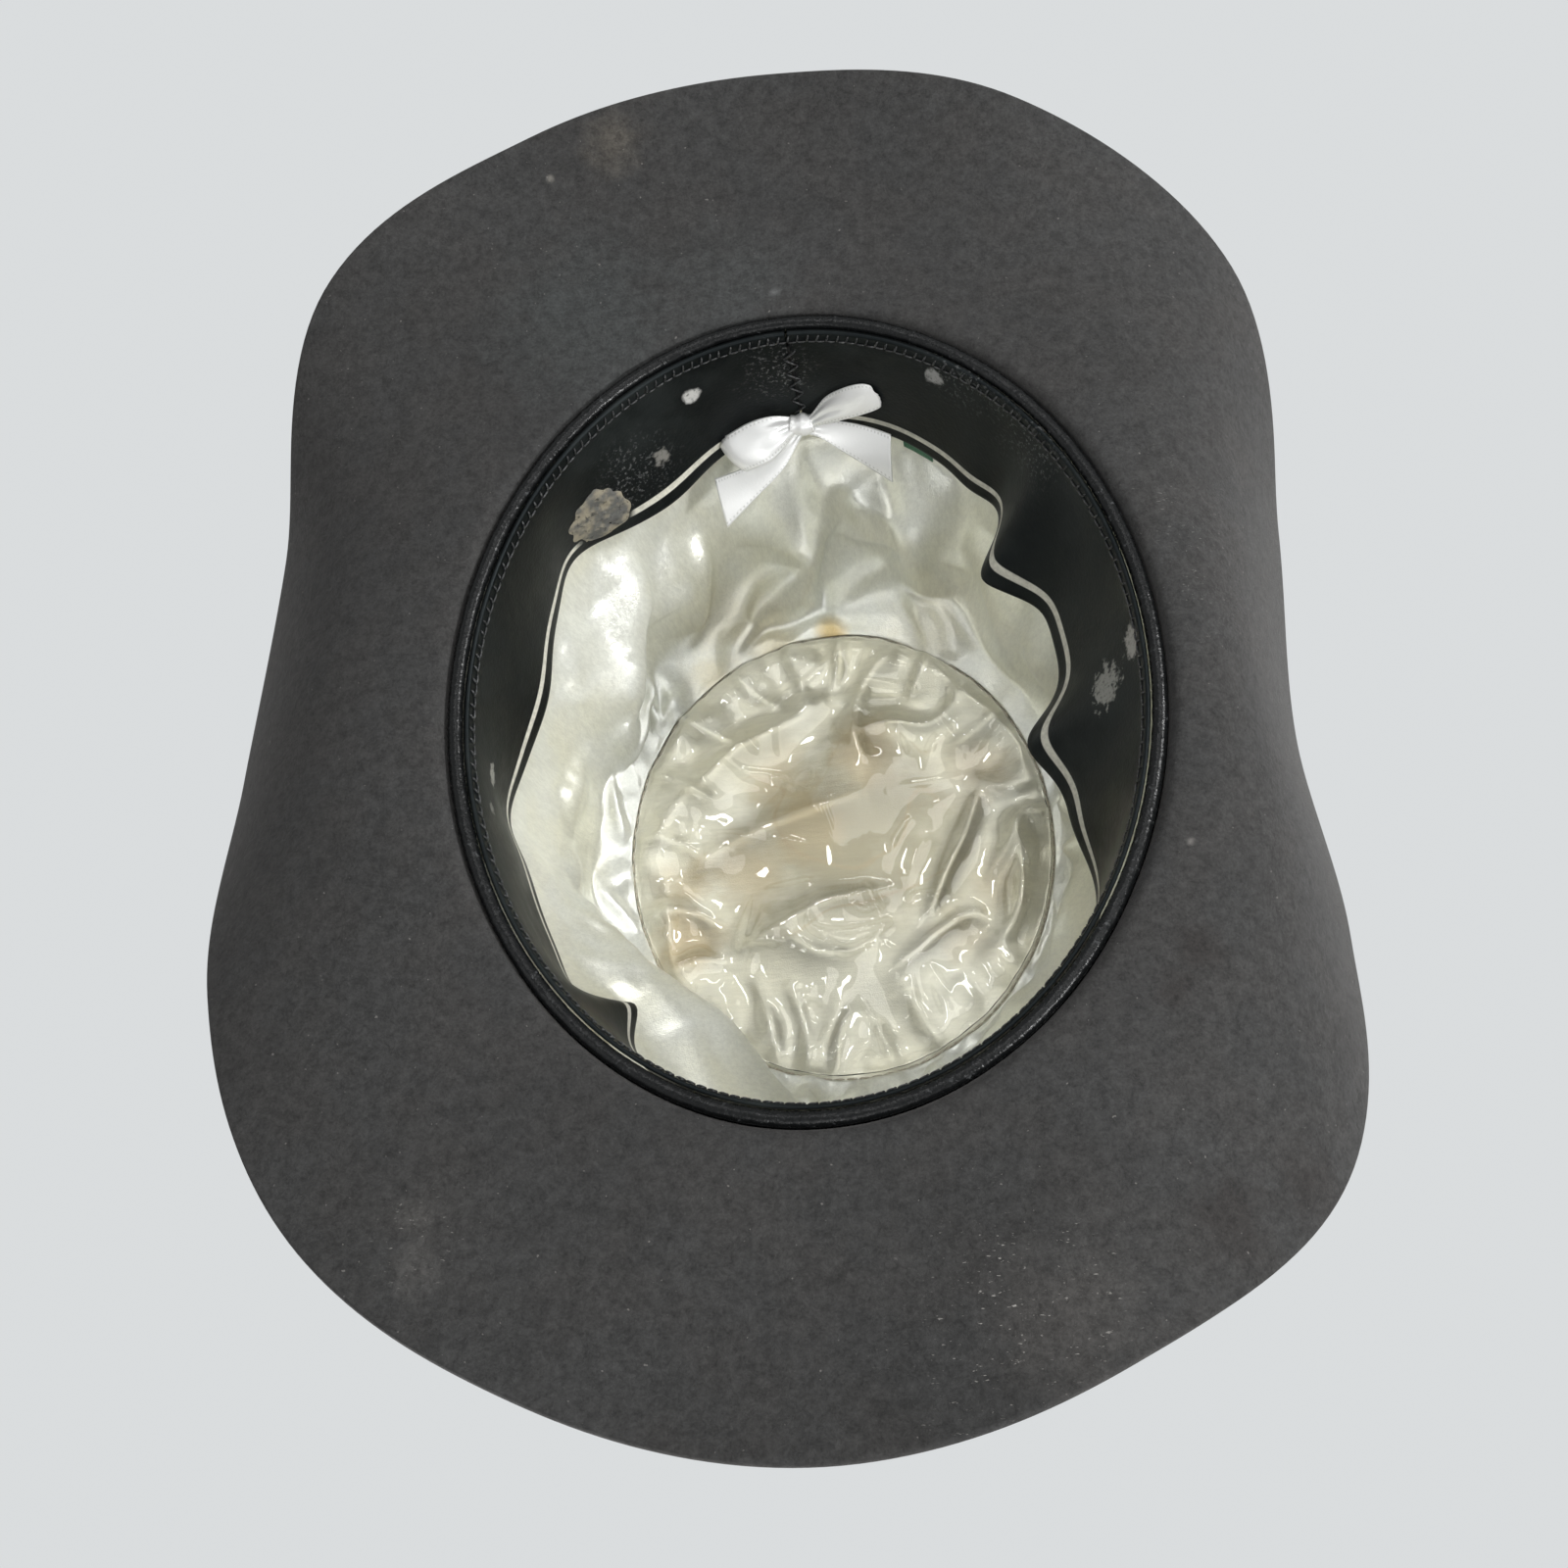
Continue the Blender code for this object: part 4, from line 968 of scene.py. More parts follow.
def satin_finish(name, colour, stains, floats, roughness=0.33, tide=None):
    """Satin: long floats with a soft directional gloss, a faint weave, uneven ageing and stains."""
    gloss = {"Specular IOR Level": 0.8, "Anisotropic": 0.4, "Metallic": 0.45}
    finish = Finish(name, colour, roughness, gloss)
    weave = finish.noise(1.0, 2.0, 0.6, finish.stretched((2600.0, 2600.0, 380.0)))
    streak = finish.noise(1.0, 3.0, 0.65, finish.stretched(floats))
    age = finish.noise(30.0, 3.0, 0.6)
    aged = tuple(part * share for part, share in zip(colour, SATIN_AGEING))
    shade = finish.mix(finish.ramp(age, 0.35, 0.7), colour, aged)
    for centre, radius, tone, strength, ragged in stains:
        shade = finish.stain(shade, tone, finish.spot(centre, radius, 0.85, ragged, 75.0), strength)
    if tide:
        line = finish.band(finish.noise(24.0, 1.0, 0.5, distortion=0.5), 0.488, 0.498, 0.012)
        shade = finish.stain(shade, (0.38, 0.30, 0.18), line, finish.spot(*tide, 0.6, 0.5, 40.0), 0.5)
    tone = finish.ramp(streak, 0.3, 0.7, 0.94, 1.04)
    tone = finish.math("ADD", finish.ramp(weave, 0.3, 0.7, -0.035, 0.03), tone)
    finish.set("Base Color", finish.tint(shade, tone))
    finish.set("Roughness", finish.ramp(streak, 0.3, 0.7, roughness - 0.03, roughness + 0.07))
    finish.bump(finish.math("ADD", weave, streak), 0.00020, 0.35)
    return finish.material


def film_finish():
    """Clear soft film over the tip, a little yellowed."""
    clear = {"Transmission Weight": 1.0, "IOR": 1.45, "Specular IOR Level": 0.5}
    finish = Finish("clear_film", (0.985, 0.98, 0.955), 0.03, clear)
    haze = finish.noise(60.0, 4.0, 0.6)
    finish.set("Roughness", finish.ramp(haze, 0.4, 0.75, 0.01, 0.05))
    return finish.material


def ribbon_finish():
    """White satin ribbon with a woven edge."""
    white = (0.85, 0.855, 0.84)
    gloss = {"Specular IOR Level": 0.8, "Anisotropic": 0.4, "Metallic": 0.2}
    finish = Finish("white_ribbon", white, 0.28, gloss)
    across, along = finish.flat()
    weave = finish.noise(1.0, 2.0, 0.6, finish.stretched((2200.0, 2200.0, 500.0)))
    edge = finish.math("ABSOLUTE", across)
    ticks = finish.ramp(finish.math("SINE", finish.times(along, TAU / SELVAGE_PITCH)), -0.2, 0.6)
    selvage = finish.times(finish.band(edge, 0.80, 0.90, 0.04), ticks)
    finish.set("Base Color", finish.stain(white, (0.48, 0.48, 0.46), selvage, 0.55))
    finish.bump(finish.math("ADD", weave, finish.times(selvage, -0.6)), 0.00012, 0.4)
    return finish.material


def crust_finish():
    """Dried residue: chalky tan and grey with dark specks."""
    finish = Finish("residue", (0.40, 0.38, 0.31), 0.9)
    patch = finish.ramp(finish.noise(190.0, 3.0, 0.6), 0.38, 0.6)
    colour = finish.mix(patch, (0.25, 0.225, 0.165), (0.10, 0.10, 0.093))
    specks = finish.ramp(finish.noise(620.0, 3.0, 0.7), 0.56, 0.68)
    finish.set("Base Color", finish.stain(colour, (0.03, 0.03, 0.027), specks, 0.8))
    finish.bump(finish.noise(1500.0, 3.0, 0.7), 0.0004, 0.6)
    return finish.material


def grosgrain_finish():
    """Ribbed ribbon: ribs across the strip, close together, with painted highlight on their crests and
    painted shade in the grooves.
    """
    gloss = {"Specular IOR Level": 0.4, "Sheen Weight": 0.1}
    finish = Finish("grosgrain", (0.020, 0.018, 0.017), 0.55, gloss)
    rib = finish.math("SINE", finish.times(finish.flat()[1], TAU / RIB_PITCH))
    fade = finish.ramp(finish.noise(60.0, 3.0, 0.6), 0.3, 0.7, 0.85, 1.15)
    # Colour follows the ribs: painted highlight on the crests and painted shade in the grooves between them
    tone = finish.times(finish.ramp(rib, -1.0, 1.0, 0.7, 1.2), fade)
    finish.set("Base Color", finish.tint((0.021, 0.0185, 0.0172), tone))
    finish.bump(rib, 0.0002, 0.8)
    return finish.material


def cloth_finish(name, colour, roughness):
    """Plain woven tape."""
    finish = Finish(name, colour, roughness)
    weave = finish.noise(2200.0, 2.0, 0.6)
    finish.set("Base Color", finish.tint(colour, finish.ramp(weave, 0.3, 0.7, 0.75, 1.2)))
    finish.bump(weave, 0.00015, 0.5)
    return finish.material


# Felt body


def wall_top():
    return CROWN_HEIGHT - CROWN_DOME - SHOULDER_RADIUS


def pinch(angle, height):
    """How far the two dents beside the front of the crown push the wall in."""
    drop = bell(height - (CROWN_HEIGHT - PINCH_DROP), PINCH_TALL)
    return sum(PINCH_DEPTH * drop * bell(turn_between(angle, dent), PINCH_SPREAD) for dent in PINCH_ANGLES)


def wall_taper(height):
    share = np.maximum(height - BREAK_RADIUS, 0.0) / (wall_top() - BREAK_RADIUS)
    return CROWN_TAPER * share**TAPER_POWER


def wall_inset(angle, height):
    """Inset of the inside of the crown wall."""
    return wall_taper(height) + pinch(angle, height)


def dented(points, height):
    """Points of the crown pushed down by the crease along its top."""
    weight = smooth_step(wall_top(), CROWN_HEIGHT, height)
    fade = 1 - CREASE_BACK_FADE * smooth_step(0.0, HEAD_HALF_LENGTH - CROWN_TAPER, points[..., 1])
    points[..., 2] -= CREASE_DEPTH * weight * fade * bell(points[..., 0], CREASE_HALF_WIDTH)
    return points


def crown_ring(angle, inset, height, share=1.0):
    points = oval(angle, inset + pinch(angle, height), height)
    points[..., :2] *= share
    return dented(points, height)


def crown_ceiling(points):
    """Level of the inside of the crown's top over points below it."""
    inset = CROWN_TAPER + SHOULDER_RADIUS
    half_width = HEAD_HALF_WIDTH - inset
    half_length = HEAD_HALF_LENGTH - inset
    x, y = points[..., 0], points[..., 1]
    level = CROWN_HEIGHT - CROWN_DOME * ((x / half_width) ** 2 + (y / half_length) ** 2)
    return dented(stack(x, y, level), level)[..., 2]


def brim_edge(angle):
    """Reach and rise of the brim edge, on a smooth closed curve through the stations."""
    return curve_at(np.array(BRIM_STATIONS), (angle % TAU) / TAU * len(BRIM_STATIONS), "wrap").T


def brim_ring(angle, t):
    reach, rise = brim_edge(angle)
    bend = BREAK_RADIUS + BRIM_BEND * (reach - BREAK_RADIUS)
    out = BREAK_RADIUS * (1 - t) ** 2 + 2 * bend * t * (1 - t) + reach * t * t
    return oval(angle, -out, rise * t * t)


def felt_inside():
    """Rings of the inside of the crown and the underside of the brim, from the top to the edge."""
    angle = turns(FELT_TURN_STEPS)
    rings = []
    for share in np.linspace(FELT_INNER_RING, 1.0, FELT_TOP_RINGS)[:-1]:
        level = CROWN_HEIGHT - CROWN_DOME * share * share
        rings.append(crown_ring(angle, CROWN_TAPER + SHOULDER_RADIUS, level, share))
    for turn in np.linspace(math.pi / 2, 0, FELT_SHOULDER_RINGS)[:-1]:
        inset = CROWN_TAPER + SHOULDER_RADIUS * (1 - math.cos(turn))
        rings.append(crown_ring(angle, inset, wall_top() + SHOULDER_RADIUS * math.sin(turn)))
    for height in np.linspace(wall_top(), BREAK_RADIUS, FELT_WALL_RINGS):
        rings.append(crown_ring(angle, wall_taper(height), height))
    for turn in np.linspace(0, math.pi / 2, FELT_BREAK_RINGS)[1:-1]:
        out = BREAK_RADIUS * (1 - math.cos(turn))
        rings.append(crown_ring(angle, -out, BREAK_RADIUS * (1 - math.sin(turn))))
    for t in np.linspace(0, 1, FELT_BRIM_RINGS):
        rings.append(brim_ring(angle, t))
    return np.array(rings)


def build_felt(finish):
    """Crown and brim as one closed skin: the inside, the cut edge of the brim and the outside."""
    inside = felt_inside()
    normal = grid_normals(inside, wrap_columns=True)
    if normal[-1, :, 2].mean() < 0:
        normal = -normal
    inside += normal * ripple(inside, FELT_RIPPLE_SCALE, FELT_RIPPLE)[..., None]
    outside = inside + normal * FELT_THICKNESS
    middle = (inside[-1] + outside[-1]) / 2
    half = (outside[-1] - inside[-1]) / 2
    outwards = inside[-1] - inside[-2]
    outwards /= np.linalg.norm(outwards, axis=1, keepdims=True)
    edge = []
    for turn in np.linspace(0, math.pi, FELT_EDGE_RINGS)[1:-1]:
        lift = -squared(math.cos(turn), FELT_EDGE_POWER)
        swell = FELT_EDGE_SWELL * FELT_THICKNESS * squared(math.sin(turn), FELT_EDGE_POWER)
        edge.append(middle + half * lift + outwards * swell)
    rows = np.concatenate([inside, np.array(edge), outside[::-1]])
    poles = (inside[0].mean(axis=0), outside[0].mean(axis=0))
    return grid_object("felt", rows, finish, wrap_columns=True, poles=poles)


# Reed, tape and sweatband


def reed_tape_radius():
    return REED_DIAMETER / 2 + GAP + REED_TAPE_WALL


def reed_centre():
    return GAP + reed_tape_radius(), reed_tape_radius() + REED_RECESS


def band_back(angle, height):
    """Inset of the side of the sweatband that faces the felt."""
    foot = reed_centre()[0] + reed_tape_radius() + GAP
    share = np.clip((height - BAND_LEAN_START) / (BAND_TOP - BAND_LEAN_START), 0.0, 1.0)
    curl = BAND_CURL * (1 - np.exp(-np.maximum(height - BAND_FOOT, 0.0) / BAND_CURL_HEIGHT))
    return foot + curl + (BAND_LEAN + bells(angle, BAND_WAVES)) * share**BAND_LEAN_POWER


def band_face(angle, height):
    return band_back(angle, height) + BAND_LEATHER


def build_reed_tape(finish):
    """Tape folded round the reed, its edges sewn to the foot of the sweatband."""
    angle = turns(BAND_TURN_STEPS)
    inset, height = reed_centre()
    radius = reed_tape_radius()
    section = []
    for turn in turns(REED_TAPE_ROWS):
        section.append(oval(angle, inset + radius * math.sin(turn), height + radius * math.cos(turn)))
    for side in (GAP, GAP + REED_TAPE_WALL):
        rises = np.linspace(REED_TAPE_WALL, REED_FLAP, REED_FLAP_ROWS)
        flap = [oval(angle, side, height + rise) for rise in rises]
        section += flap if side == GAP else flap[::-1]
    rows = np.array(section)
    rows += grid_normals(rows, True, True) * ripple(rows, REED_TAPE_RIPPLE_SCALE, REED_TAPE_RIPPLE)[..., None]
    return grid_object("reed_tape", rows, finish, True, True)


def build_sweatband(finish):
    """Leather strip bent round the opening, its ends butted at the back."""
    half_gap = BAND_SEAM_GAP / 2 / HEAD_HALF_WIDTH
    angle = np.linspace(BACK + half_gap, BACK + TAU - half_gap, BAND_TURN_STEPS)
    levels = np.linspace(BAND_FOOT, BAND_TOP, BAND_RISE_ROWS)
    section = [oval(angle, band_back(angle, level), level) for level in levels]
    heights = list(levels)
    for turn in np.linspace(0, math.pi, BAND_EDGE_ROWS)[1:-1]:
        inset = band_back(angle, BAND_TOP) + BAND_LEATHER * (1 - math.cos(turn)) / 2
        section.append(oval(angle, inset, BAND_TOP + BAND_LEATHER / 2 * math.sin(turn)))
        heights.append(BAND_TOP)
    for level in levels[::-1]:
        section.append(oval(angle, band_face(angle, level), level))
        heights.append(level)
    rows = np.array(section)
    heights.append(BAND_FOOT)
    return grid_object(
        "leather_band", rows, finish, wrap_rows=True, across=oval_length(angle), along=np.array(heights)
    )


def on_face(angle, height, stand_off):
    return oval(angle, band_face(angle, height) + stand_off, height)


def build_reed_stitching(finish):
    """Ladder of stitches: dashes along the foot of the leather, and bars from each dash over to the tape."""
    clear = THREAD_DIAMETER / 2
    pitch = TAU / REED_STITCHES
    jitter = np.random.default_rng(SEED).normal(0.0, STITCH_WANDER, (REED_STITCHES, 3))
    spans = np.linspace(*STITCH_ENDS, STITCH_POINTS)
    lift = clear * (0.2 + 0.8 * np.sin(math.pi * spans))
    heights = np.linspace(REED_STITCH_HIGH, REED_STITCH_LOW, STITCH_POINTS)
    paths = []
    for step in range(REED_STITCHES):
        start = pitch * (step + jitter[step, 0] * REED_STITCH_SHIFT)
        level = REED_STITCH_HIGH + REED_STITCH_RISE * jitter[step, 1]
        paths.append(on_face(start + pitch * spans, np.full(STITCH_POINTS, level), lift))
        lean = pitch * (0.25 + 0.5 * jitter[step, 2])
        paths.append(on_face(start + lean * np.linspace(0, 1, STITCH_POINTS), heights, lift))
    return join_tubes("reed_stitches", paths, clear, finish)


def back_angle(along):
    """Angle on the oval at a length along the back, counted towards the wearer's left."""
    return BACK - np.asarray(along) / HEAD_HALF_WIDTH


def on_band(along, stand_off, height):
    return on_face(back_angle(along), np.asarray(height, float), stand_off)


def behind_band(along, depth, height):
    angle = back_angle(along)
    return oval(angle, band_back(angle, height) - depth, np.asarray(height, float))


def build_patch(name, middle, width, foot, top, thickness, finish):
    """Strip of tape or cloth lying against the hidden side of the sweatband."""
    columns = np.linspace(-0.5, 0.5, PATCH_COLUMNS) * width + middle
    along, level = np.meshgrid(columns, np.linspace(foot, top, PATCH_ROWS))
    points = behind_band(along, GAP, level)
    points += ripple(points, PATCH_RIPPLE_SCALE, PATCH_RIPPLE)[..., None]
    item = grid_object(name, points, finish, across=along[0], along=level[:, 0])
    return thicken(item, thickness, 1)


def build_crust(finish):
    """Lump of dried residue on the sweatband."""
    angle = turns(CRUST_TURN_STEPS)
    shares = np.linspace(CRUST_INNER_RING, 1.0, CRUST_RINGS)[:, None]
    outline = 1 + ripple(stack(np.cos(angle), np.sin(angle), 0.0), CRUST_RAGGED_SCALE, CRUST_RAGGED)
    along = CRUST_HALF_WIDTH * shares * outline * np.cos(angle)
    height = CRUST_HEIGHT + CRUST_HALF_HEIGHT * shares * outline * np.sin(angle)
    places = stack(along, height, 0.0)
    lumps = ripple(places, 330.0, 0.7) + ripple(places, 900.0, 0.35)
    lift = CRUST_THICKNESS * (1 - shares**CRUST_EDGE_POWER) * (CRUST_LEVEL + lumps)
    rows = on_band(CRUST_ALONG + along, lift - GAP / 2, height)
    return grid_object("residue", rows, finish, wrap_columns=True, poles=(rows[0].mean(axis=0),))


def build_back_seam_thread(finish):
    """Zigzag stitches across the butted ends of the sweatband."""
    count = int((SEAM_TAPE_TOP - SEAM_TAPE_FOOT) / SEAM_STITCH_PITCH)
    spans = np.linspace(*SEAM_STITCH_ENDS, SEAM_STITCH_POINTS)
    lift = THREAD_DIAMETER / 2 * (0.3 + 0.7 * np.sin(math.pi * spans))
    paths = []
    for step in range(count):
        side = SEAM_STITCH_HALF_WIDTH if step % 2 else -SEAM_STITCH_HALF_WIDTH
        height = SEAM_TAPE_FOOT + SEAM_STITCH_PITCH * (step + spans)
        paths.append(on_band(side * (1 - 2 * spans), lift, height))
    return join_tubes("seam_stitches", paths, THREAD_DIAMETER / 2, finish)


# Bow tied from satin ribbon


def run_length(points):
    """Length along the middle of a strip of points, row by row."""
    steps = np.linalg.norm(np.diff(points[:, points.shape[1] // 2], axis=0), axis=1)
    return np.concatenate([[0.0], np.cumsum(steps)])


def bow_point(left, down, forward):
    """Point of the bow: it is tied against the free edge of the sweatband and leans out of the crown."""
    off = BOW_STAND_OFF + down * math.cos(BOW_TILT) + forward * math.sin(BOW_TILT)
    height = BOW_HEIGHT + down * math.sin(BOW_TILT) - forward * math.cos(BOW_TILT)
    return stack(left, on_band(0.0, 0.0, BOW_HEIGHT)[1] - off, height)


def bow_ribbon(edges, count, cup, knots):
    """Rows of points of a ribbon between two edges, hollowed across and pleated at its knot ends."""
    edges = np.array(edges) / 1000
    first = curve_through(edges[:, 0], count)
    last = curve_through(edges[:, 1], count)
    sides = np.linspace(0, 1, BOW_SIDE_STEPS)[None, :, None]
    points = first[:, None] * (1 - sides) + last[:, None] * sides
    width = np.linalg.norm(last - first, axis=1)[:, None, None]
    along = np.linspace(0, 1, count)[:, None, None]
    pull = sum(smooth_step(BOW_PLEAT_REACH, 0.1, np.abs(along - knot)) for knot in knots)
    hollow = cup * 4 * sides * (1 - sides) + BOW_PLEAT * pull * np.cos(TAU * BOW_PLEATS * sides)
    points += grid_normals(points) * width * hollow
    points = bow_point(*np.moveaxis(points, 2, 0))
    return keep_inside(points, band_face, GAP + BOW_RIBBON_THICKNESS, BAND_TOP + BAND_LEATHER)


def ribbon_sheet(name, points, finish):
    """Ribbon with its thickness, and its length and width as texture coordinates."""
    sides = np.linspace(-1, 1, points.shape[1])
    item = grid_object(name, points, finish, across=sides, along=run_length(points))
    return thicken(item, BOW_RIBBON_THICKNESS, 0)


def build_bow_loops(finish):
    """One ribbon: round the left loop, through the knot and round the right loop."""
    left = bow_ribbon(LEFT_LOOP, BOW_LOOP_STEPS, LEFT_LOOP_CUP, (0, 1))
    right = bow_ribbon(RIGHT_LOOP, BOW_LOOP_STEPS, RIGHT_LOOP_CUP, (0, 1))
    return ribbon_sheet("ribbon_loops", np.concatenate([left, right]), finish)


def build_bow_tails(finish):
    """One ribbon through the back of the knot, its two slanted ends hanging in front of the lining."""
    left = bow_ribbon(LEFT_TAIL[::-1], BOW_TAIL_STEPS, TAIL_CUP, (1,))
    right = bow_ribbon([row[::-1] for row in RIGHT_TAIL], BOW_TAIL_STEPS, -TAIL_CUP, (0,))
    return ribbon_sheet("ribbon_tails", np.concatenate([left, right[:, ::-1]]), finish)


def build_bow_knot(finish):
    """Ribbon wrapped round the middle of the bow, pulled into pleats."""
    sides = np.linspace(-1, 1, KNOT_SIDE_STEPS)
    swell = 1 + 0.10 * np.cos(5 * sides + 0.6) - 0.12 * sides**2
    rows = []
    for turn in turns(KNOT_TURN_STEPS):
        down = KNOT_HALF_HEIGHT * math.cos(turn) * swell
        forward = KNOT_FORWARD + KNOT_HALF_DEPTH * math.sin(turn) * swell
        rows.append(bow_point(sides * KNOT_HALF_LENGTH * (1 + 0.12 * math.cos(turn)), down, forward))
    along = np.linspace(0, TAU * KNOT_HALF_HEIGHT, KNOT_TURN_STEPS + 1)
    item = grid_object("ribbon_knot", np.array(rows), finish, wrap_rows=True, across=sides, along=along)
    return thicken(item, BOW_RIBBON_THICKNESS, 0)


# Satin lining


def tip_level():
    return CROWN_HEIGHT - CREASE_DEPTH - TIP_CLEARANCE


def tip_point(angle, share, margin=0.0, below=0.0):
    """Point on the upper side of the lining tip, at a share of the way out to its seam."""
    x = share * (TIP_HALF_WIDTH - margin) * np.cos(angle)
    y = share * (TIP_HALF_LENGTH - margin) * np.sin(angle) - TIP_FORWARD
    sag = TIP_SAG * (1 - share * share)
    return stack(x, y, tip_level() - sag - below)


def fold_lift(angle, share, points, hem_side, tip_side):
    """Inward lift of one fold at a grid of angles and shares."""
    line = curve_through(points, FOLD_STEPS)
    along = FOLD_RADIUS * np.radians(line[:, 0] - line[0, 0])
    rise = FOLD_RISE * line[:, 1]
    x = FOLD_RADIUS * turn_between(angle, math.radians(line[0, 0]))[None, :, None]
    y = FOLD_RISE * share[:, None, None]
    away = np.hypot(x - along, y - rise)
    nearest = away.argmin(axis=2)
    away = away.min(axis=2)
    run_along = np.gradient(along)[nearest]
    run_rise = np.gradient(rise)[nearest]
    side = run_along * (y[..., 0] - rise[nearest]) - run_rise * (x[..., 0] - along[nearest])
    if run_along.sum() < 0:
        side = -side
    width = np.where(side > 0, tip_side, hem_side)
    crest = FOLD_CREST * width
    return line[nearest, 2] * np.exp(-(np.sqrt(away**2 + crest**2) - crest) / (FOLD_FALL * width))


def lining_folds(angle, share, folds):
    """Inward lift of several folds. They start at the edge of the sweatband."""
    total = sum(fold_lift(angle, share, *fold) for fold in folds)
    return total * smooth_step(*FOLD_START, share)[:, None]


def lining_wall(angle, share):
    height = LINING_HEM + (tip_level() - LINING_TURN_DROP - LINING_HEM) * share
    return oval(angle, wall_inset(angle, height) + GAP + LINING_SLACK * share**LINING_SLACK_POWER, height)


def lining_ring(angle, share):
    """Ring on the felt side of the lining, from the hem to the tip seam."""
    if share <= LINING_WALL_SHARE:
        return lining_wall(angle, share / LINING_WALL_SHARE)
    t = (share - LINING_WALL_SHARE) / (1 - LINING_WALL_SHARE)
    start = lining_wall(angle, 1.0)
    seam = tip_point(angle, 1.0, margin=-TIP_SEAM_HALF_GAP)
    seam[..., 2] -= tip_relief(tip_point(angle, 1.0), angle, 1.0)
    corner = start + (start - lining_wall(angle, LINING_TURN_FROM)) * LINING_TURN_EASE
    return start * (1 - t) ** 2 + corner * 2 * t * (1 - t) + seam * t * t


def settle(rows, held, tight):
    """Let a ring of cloth buckle and sag. held is 1 where it stays in place, tight 1 where none is spare."""
    scene = bpy.context.scene
    item = grid_object("settling", rows * SETTLE_SCALE, None, wrap_columns=True)
    for name, weights in (("held", held), ("tight", tight)):
        group = item.vertex_groups.new(name=name)
        for corner, weight in enumerate(weights.ravel()):
            group.add([corner], weight, "REPLACE")
    cloth = item.modifiers.new("Cloth", "CLOTH")
    for setting, value in SETTLE_CLOTH.items():
        setattr(cloth.settings, setting, value)
    cloth.collision_settings.use_collision = False
    cloth.collision_settings.use_self_collision = False
    scene.gravity = -SETTLE_WEIGHT * Vector(CAMERA_UP)
    cloth.point_cache.frame_end = SETTLE_FRAMES
    for step in range(1, SETTLE_FRAMES + 1):
        scene.frame_set(step)
    settled = item.evaluated_get(bpy.context.evaluated_depsgraph_get()).to_mesh()
    places = np.empty(len(settled.vertices) * 3)
    settled.vertices.foreach_get("co", places)
    bpy.data.objects.remove(item)
    scene.frame_set(1)
    return places.reshape(rows.shape) / SETTLE_SCALE


def build_lining_side(finish):
    """Side wall of the lining: gathered between its hem and the tip seam, and sagging in folds."""
    angle = turns(LINING_TURN_STEPS)
    shares = np.linspace(1, 0, LINING_RISE_STEPS)
    rows = np.array([lining_ring(angle, share) for share in shares])
    inwards = oval(angle, 1.0, 0.0) - oval(angle, 0.0, 0.0)
    rows += inwards[None] * lining_folds(angle, shares, LINING_FOLDS)[..., None]
    ends = np.maximum(smooth_step(*LINING_HELD, shares), shares > 0.99)[:, None]
    roll = fold_lift(angle, shares, *LINING_FOLDS[0]) / LINING_ROLL_LIFT
    held = np.maximum(ends, smooth_step(*ROLL_HELD, roll))
    tight = np.broadcast_to(bells(angle, LINING_TIGHT), held.shape)
    rows = keep_inside(settle(rows, held, tight), wall_inset, GAP + FELT_RIPPLE, wall_top())
    normal = grid_normals(rows, wrap_columns=True)
    normal *= np.sign((normal * inwards[None]).sum(axis=2).mean())
    rows += normal * lining_folds(angle, shares, LINING_CREASES)[..., None]
    item = grid_object("side_lining", rows, finish, wrap_columns=True)
    thicken(item, SATIN_THICKNESS, -1)
    smooth = item.modifiers.new("Smooth", "SUBSURF")
    smooth.levels = 1
    smooth.render_levels = 1
    return item


def ridges(points, lines):
    """Height of soft ridges at points. Each is a line of (x, y) with a width and a height, in millimetres."""
    total = np.zeros(points.shape[:-1])
    flat = 1000 * points[..., :2]
    for line, width, height in lines:
        steps = int(np.linalg.norm(np.diff(line, axis=0), axis=1).sum() / RIDGE_PITCH) + 3
        path = curve_through(line, steps)
        reach = RIDGE_REACH * width
        near = ((flat > path.min(axis=0) - reach) & (flat < path.max(axis=0) + reach)).all(axis=-1)
        away = np.linalg.norm(flat[near][:, None] - path, axis=-1)
        ends = np.sin(math.pi * np.linspace(*RIDGE_ENDS, steps)) ** RIDGE_END_POWER
        crest = RIDGE_CREST * width
        fall = np.exp((crest - np.hypot(away.min(axis=1), crest)) / width)
        total[near] += height * ends[away.argmin(axis=1)] * fall
    return total / 1000


def tip_relief(points, angle, share):
    """How far the lining tip hangs down in folds, drawn into small pleats at its seam."""
    swell = ripple(points, TIP_SWELL_SCALE, 1.0, TIP_SWELL_SHIFT)
    pleats = np.cos(TIP_PLEATS * angle + TIP_PLEAT_WANDER * swell) * smooth_step(*TIP_PLEATS_GROW, share)
    drop = TIP_SWELL * (swell + TIP_HANG) * smooth_step(*TIP_SWELL_FADES, share)
    drop += TIP_PLEAT_DEPTH * (pleats + TIP_HANG)
    folds = ridges(points, TIP_FOLDS) * smooth_step(*TIP_FOLDS_FADE, share)
    relief = np.maximum(drop, 0.0) + folds - TIP_BOWL * smooth_step(*TIP_BOWL_FADES, share)
    return np.maximum(relief, points[..., 2] - crown_ceiling(points) + TIP_CREASE_GAP)


def tip_grid():
    """Rows of points across the lining tip, from its middle to its seam, with their angles and shares."""
    angle = turns(TIP_TURN_STEPS)
    shares = np.linspace(TIP_INNER_RING, 1, TIP_RING_STEPS)[:, None]
    rows = tip_point(angle, shares)
    rows[..., 2] -= tip_relief(rows, angle, shares)
    return rows, angle, shares


